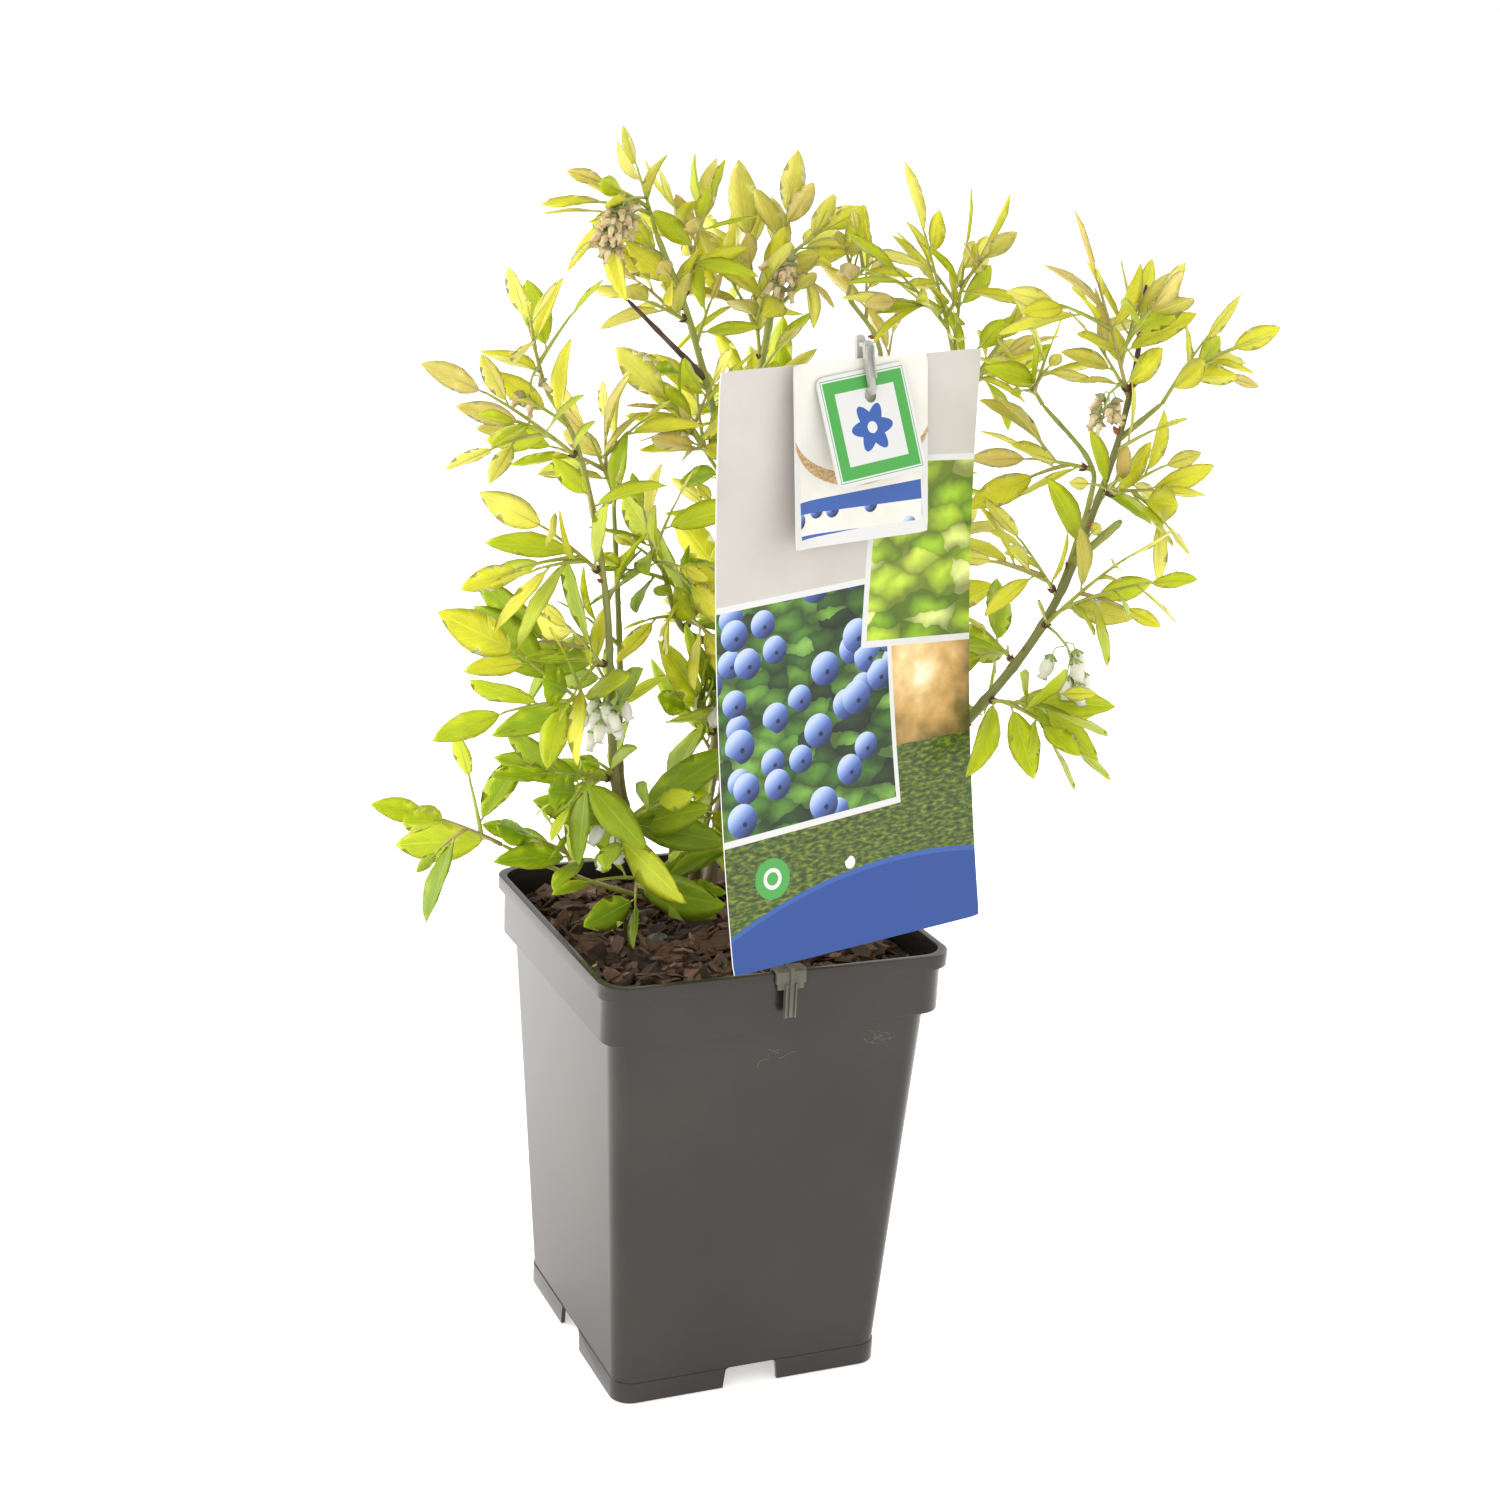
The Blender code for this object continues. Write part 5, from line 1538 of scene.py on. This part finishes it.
def buildBlossom(paths):
    f = blossomForm
    draw = random.Random(growth["seed"] * 5)
    heaps = {key: ([], []) for key in ("white", "faded", "cup", "fadedCup", "stalk")}
    bells = {kind: turned(f[kind], f["sides"], lobes) for kind, lobes in f["lobes"].items()}
    cup = turned(f["cup"], f["cupSides"], f["cupLobes"])
    for name, share, aim, kind, count, reach in f["spots"]:
        root, _ = along(paths[name], share)
        aim = Vector(aim).normalized()
        spine = [root + aim * reach * far - up * reach * drop for far, drop in f["spine"]]
        addShape(heaps["stalk"], *tube(spine, taper(spine, *f["spineRadii"]), 5))
        for k in range(count):
            foot, _ = along(spine, f["from"] + f["span"] * k / max(1, count - 1))
            angle = goldenAngle * k
            out = Vector((math.cos(angle), math.sin(angle), 0)) * f["spread"] + aim * f["ahead"]
            out = (out + up * draw.uniform(*f["rise"])).normalized()
            long = draw.uniform(*f["stalkLong"][kind])
            bend = foot + out * long * f["stalkBend"]
            end = bend + (out * f["stalkTurn"] - up).normalized() * long * f["stalkEnd"]
            addShape(heaps["stalk"], *tube([foot, bend, end], [f["stalk"]] * 3, 4))
            down = (up - out * draw.uniform(*f["hang"][kind])).normalized()
            side = down.orthogonal().normalized()
            size = draw.uniform(*f["sizes"])
            place = Matrix((side * size, down.cross(side) * size, down * size)).transposed().to_4x4()
            place.translation = end - down * f["sink"]
            addShape(heaps[kind], *bells[kind], place)
            addShape(heaps["fadedCup" if kind == "faded" else "cup"], *cup, place)
    for key, heap in heaps.items():
        finishPiece(meshPiece("blossom_" + key, *heap), materials["blossom_" + key])


# Materials

leafLook = {
    "veins": 7.5, "lean": .34, "veinWide": .12, "veinShows": .45, "ribWide": .05, "shine": .46,
    "lift": 1.30, "shade": .86, "light": 1.12, "most": .85, "cloud": 70, "bump": (.5, .0003),
}


def leafMaterial(name, colour):
    # Veins run from the midrib (u = .5) to the margins and lean towards the tip (v = 1)
    k = leafLook
    material = newMaterial(name, k["shine"], Subsurface_Weight=.30, Subsurface_Scale=.002,
                           Subsurface_Radius=(.7, 1.0, .15), Specular_IOR_Level=.22)
    tree = material.node_tree
    shader = tree.nodes["Principled BSDF"]
    coordinates = addNode(tree, "TexCoord").outputs
    split = addNode(tree, "SeparateXYZ", (coordinates["UV"],)).outputs
    across = math2(tree, "ABSOLUTE", math2(tree, "SUBTRACT", split[0], .5))
    run = math2(tree, "SUBTRACT", split[1], math2(tree, "MULTIPLY", across, k["lean"] * 2))
    wave = math2(tree, "PINGPONG", math2(tree, "MULTIPLY", run, k["veins"]), .5)
    vein = addNode(tree, "MapRange", (wave, 0, k["veinWide"], 1, 0)).outputs[0]
    rib = addNode(tree, "MapRange", (across, 0, k["ribWide"], 1, 0)).outputs[0]
    lines = math2(tree, "MAXIMUM", math2(tree, "MULTIPLY", vein, k["veinShows"]), rib)
    cloud = noiseOn(tree, coordinates["Object"], k["cloud"], 3)
    blade = ramp(tree, cloud, [(.32, tuple(c * k["shade"] for c in colour)), (.55, colour),
                               (.72, tuple(min(k["most"], c * k["light"]) for c in colour))])
    light = tuple(min(k["most"], c * k["lift"]) for c in colour)
    shown = layered(tree, lines, (*light, 1), blade)
    tree.links.new(shown, shader.inputs["Base Color"])
    relief = addNode(tree, "Bump", (*k["bump"], None, lines), invert=True)
    tree.links.new(relief.outputs[0], shader.inputs["Normal"])
    return material


barkAndPaintedLightLook = {"rough": .55, "cloud": 160, "stretch": (1, 1, .3), "ragged": .05, "foot": .17, "reach": .33,
            "shade": (.25, .75, .72, 1.2)}


def barkAndPaintedLightByHeight(name, stops, bump=.00012):
    # Colours by height, with a ragged border between them: on the canes the bark's own tones, on the holder
    # painted light that grows lighter towards the top
    k = barkAndPaintedLightLook
    material = newMaterial(name, k["rough"])
    tree = material.node_tree
    shader = tree.nodes["Principled BSDF"]
    place = addNode(tree, "TexCoord").outputs["Object"]
    cloud = noiseOn(tree, place, k["cloud"], 5, k["stretch"])
    height = addNode(tree, "SeparateXYZ", (place,)).outputs[2]
    shift = math2(tree, "MULTIPLY", math2(tree, "SUBTRACT", cloud, .5), k["ragged"])
    ragged = math2(tree, "ADD", height, shift)
    level = addNode(tree, "MapRange", (ragged, k["foot"], k["foot"] + k["reach"], 0, 1)).outputs[0]
    colour = ramp(tree, level, [((z - k["foot"]) / k["reach"], c) for z, c in stops])
    shade = addNode(tree, "MapRange", (cloud, *k["shade"])).outputs[0]
    shaded = addNode(tree, "VectorMath", (colour, None, None, shade), operation="SCALE").outputs[0]
    tree.links.new(shaded, shader.inputs["Base Color"])
    relief = addNode(tree, "Bump", (1, bump, None, cloud))
    tree.links.new(relief.outputs[0], shader.inputs["Normal"])
    return material


materials = {
    "pot": mottled("pot_satin", [(.020, .016, .013), (.025, .020, .017), (.032, .027, .023)], 14, .21,
                   .00002, 2600, gloss=.05, detail=5, Specular_IOR_Level=.42),
    "soil": mottled("bark_bed", [(.014, .008, .005), (.038, .022, .013), (.080, .046, .028)], 190, .92,
                    .0006, 700),
    "oldWood": mottled("old_wood", [(.070, .045, .030), (.150, .110, .075)], 300, .8, .0002, 1200),
    "stone": mottled("grey_stone", [(.085, .085, .080), (.180, .178, .165)], 380, .7, .0001, 1500),
    "lint": newMaterial("lint_fibre", .9, Base_Color=(.42, .33, .27, 1)),
    "paper": mottled("card_paper", [(.62, .61, .59), (.70, .69, .67)], 40, .5, .00001, 3000, gloss=.05),
    # The holder is one plastic: its darker clip and lighter stem top are painted light, not its own colour
    "holder": barkAndPaintedLightByHeight("holder_plastic", [(.17, (.120, .112, .085)), (.26, (.16, .155, .125)),
                                              (.40, (.36, .36, .32)), (.44, (.46, .46, .42))], .00001),
    "bark": barkAndPaintedLightByHeight("cane_bark", [(.18, (.13, .085, .05)), (.23, (.20, .16, .07)),
                                       (.30, (.24, .25, .07)), (.42, (.34, .38, .09))]),
    "barkRight": barkAndPaintedLightByHeight("cane_bark_right", [(.18, (.13, .09, .04)), (.27, (.175, .190, .045)),
                                                  (.405, (.18, .18, .045)), (.425, (.050, .028, .026))]),
    "dead": mottled("dead_bark", [(.040, .022, .022), (.090, .052, .045), (.15, .10, .085)], 160, .85,
                    .0002, 900),
    "scale": mottled("shoot_scales", [(.050, .018, .014), (.150, .060, .040)], 500, .7),
    "bud": mottled("bud_reds", [(.20, .055, .030), (.36, .13, .06)], 400, .5, .00008, 1500),
    "shoot_green": mottled("shoot_green", [(.32, .36, .055), (.46, .48, .09)], 120, .45, .00005, 1200),
    "shoot_warm": mottled("shoot_warm", [(.34, .25, .08), (.44, .38, .12)], 120, .45, .00005, 1200),
    "rib_green": mottled("rib_green", [(.44, .50, .10), (.56, .60, .15)], 200, .45),
    "rib_warm": mottled("rib_warm", [(.48, .36, .16), (.58, .46, .22)], 200, .45),
    "blossom_white": mottled("blossom_white", [(.78, .78, .66), (.86, .86, .80)], 300, .5, .00003, 1500,
                             Subsurface_Weight=.3, Subsurface_Scale=.002),
    "blossom_faded": mottled("blossom_faded", [(.38, .25, .11), (.68, .54, .30), (.80, .73, .50)], 330, .7,
                             .00008, 1500, Subsurface_Weight=.2, Subsurface_Scale=.001),
    "blossom_cup": mottled("blossom_cup", [(.30, .42, .10), (.44, .54, .18)], 300, .5),
    "blossom_fadedCup": mottled("blossom_faded_cup", [(.34, .36, .14), (.46, .42, .22)], 300, .6),
    "blossom_stalk": mottled("blossom_stalk", [(.34, .42, .12), (.44, .50, .18)], 200, .5),
    "cardPrint": printed("card_print", labelPlace["size"], "stone", [
        ("dusk", "box", (38, -24), (23, 44), 0),
        ("meadow", "box", (0, -80), (60, 42), 0),
        ("white", "box", (-20, -17), (42, 46), 2.5), ("discs", "box", (-22, -17), (42, 43.5), 2.5),
        ("white", "box", (36, 38), (27, 37), -4), ("lime", "box", (37.5, 38), (26, 34.5), -4),
        ("blueLight", "disc", (24, -296), (214, 214), 0), ("blue", "disc", (24, -298), (214, 214), 0),
        ("green", "disc", (-39, -80), (8, 8), 0), ("white", "disc", (-39, -80), (4.2, 4.2), 0),
        ("green", "disc", (-39, -80), (2.6, 2.6), 0)]),
    "foldPrint": printed("fold_print", labelPlace["foldSize"], "white", [
        ("cream", "box", (0, 4), (29, 30), 0), ("crumb", "disc", (0, 13), (34, 26), 0),
        ("cream", "disc", (0, 19), (36, 27), 0), ("blueLight", "box", (0, -22), (29, 7), 3),
        ("smallDiscs", "box", (0, -25), (29, 4), 0)]),
    "tagPrint": printed("tag_print", labelPlace["tagSize"], "white", [
        ("green", "box", (0, 0), (19.1, 19.1), 0), ("white", "box", (0, 0), (18.8, 18.8), 0),
        ("green", "box", (0, 0), (18.2, 18.2), 0), ("white", "box", (0, 0), (13.6, 13.6), 0),
        ("blueLight", "disc", (0, -1), (9.5, 3.4), 0), ("blueLight", "disc", (0, -1), (9.5, 3.4), 60),
        ("blueLight", "disc", (0, -1), (9.5, 3.4), 120), ("white", "disc", (0, -1), (2.2, 2.2), 0)]),
}
flakeTones = {
    "dark": ([(.024, .013, .008), (.062, .034, .020)], .85),
    "brown": ([(.062, .034, .019), (.145, .082, .048)], .8),
    "red": ([(.090, .042, .022), (.190, .100, .060)], .78),
    "tan": ([(.150, .096, .058), (.320, .225, .145)], .8),
}
for kind, (tones, rough) in flakeTones.items():
    name = "flake_" + kind
    materials[name] = mottled(name, tones, 260, rough, .0003, 1500, (1, 3, 1))
for tint, colour in tints.items():
    materials["leaf_" + tint] = leafMaterial("leaf_" + tint, colour)


# Building

buildPot()
print("pot done")
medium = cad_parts["growing_medium"]
medium.data.materials.clear()
medium.data.materials.append(materials["soil"])
buildBed()
buildFlakes()
buildScraps()
buildLint()
print("bark done")
buildCard()
buildFold()
buildTag()
buildHolder()
print("label done")
space = Space()
for node in ("pot", "growing_medium", "label_card", "label_fold", "label_tag", "label_holder",
             *canes, *boughs):
    space.addNode(node)
paths = limbPaths()
buildFoliage(space, paths)
buildLimbs(paths)
buildBlossom(paths)
print("bush done")


# Studio: white floor, soft light from the left, camera at the photograph's angle

studio = {
    "camera": Vector((-.3780, -.9067, .5460)), "yaw": .40618, "pitch": -.28262, "roll": .04745,
    "lens": 59.59, "floor": 60.0,
    "lamps": [((-1.5, .9, .6), 1.6, 28), ((1.5, 1.0, .9), 1.4, 7), ((-1.2, -1.2, 1.3), 1.2, 4)],
    "aim": Vector((.02, 0, .25)), "world": 1.02, "warm": (1, .97, .93), "glow": .5,
}


def buildStudio():
    s = studio
    dropSelection()
    bpy.ops.mesh.primitive_plane_add(size=s["floor"], location=(0, 0, -.0004))
    floor = added("floor")
    white = newMaterial("floor_white", .8, Base_Color=(.96, .957, .95, 1), Emission_Color=(1, .975, .94, 1),
                        Emission_Strength=s["glow"])
    floor.data.materials.append(white)
    for index, (place, size, power) in enumerate(s["lamps"]):
        lamp = bpy.data.lights.new(f"lamp_{index}", "AREA")
        lamp.shape = "DISK"
        lamp.size = size
        lamp.energy = power
        lamp.color = s["warm"]
        holder = bpy.data.objects.new(f"lamp_{index}", lamp)
        bpy.context.scene.collection.objects.link(holder)
        holder.location = place
        holder.rotation_euler = (s["aim"] - Vector(place)).to_track_quat("-Z", "Y").to_euler()
    world = bpy.data.worlds.new("white_room")
    bpy.context.scene.world = world
    world.use_nodes = True
    sky = world.node_tree.nodes["Background"]
    sky.inputs["Color"].default_value = (1, 1, 1, 1)
    sky.inputs["Strength"].default_value = s["world"]
    bpy.context.scene.view_settings.view_transform = "Standard"


def buildCamera():
    s = studio
    look = Vector((math.sin(s["yaw"]) * math.cos(s["pitch"]), math.cos(s["yaw"]) * math.cos(s["pitch"]),
                   math.sin(s["pitch"])))
    right = look.cross(up).normalized()
    top = right.cross(look)
    across = right * math.cos(s["roll"]) + top * math.sin(s["roll"])
    above = top * math.cos(s["roll"]) - right * math.sin(s["roll"])
    camera = bpy.data.cameras.new("photo_camera")
    camera.lens = s["lens"]
    camera.sensor_width = 36
    camera.clip_start = .01
    holder = bpy.data.objects.new("photo_camera", camera)
    bpy.context.scene.collection.objects.link(holder)
    place = Matrix((across, above, -look)).transposed().to_4x4()
    place.translation = s["camera"]
    holder.matrix_world = place
    bpy.context.scene.camera = holder


buildStudio()
buildCamera()
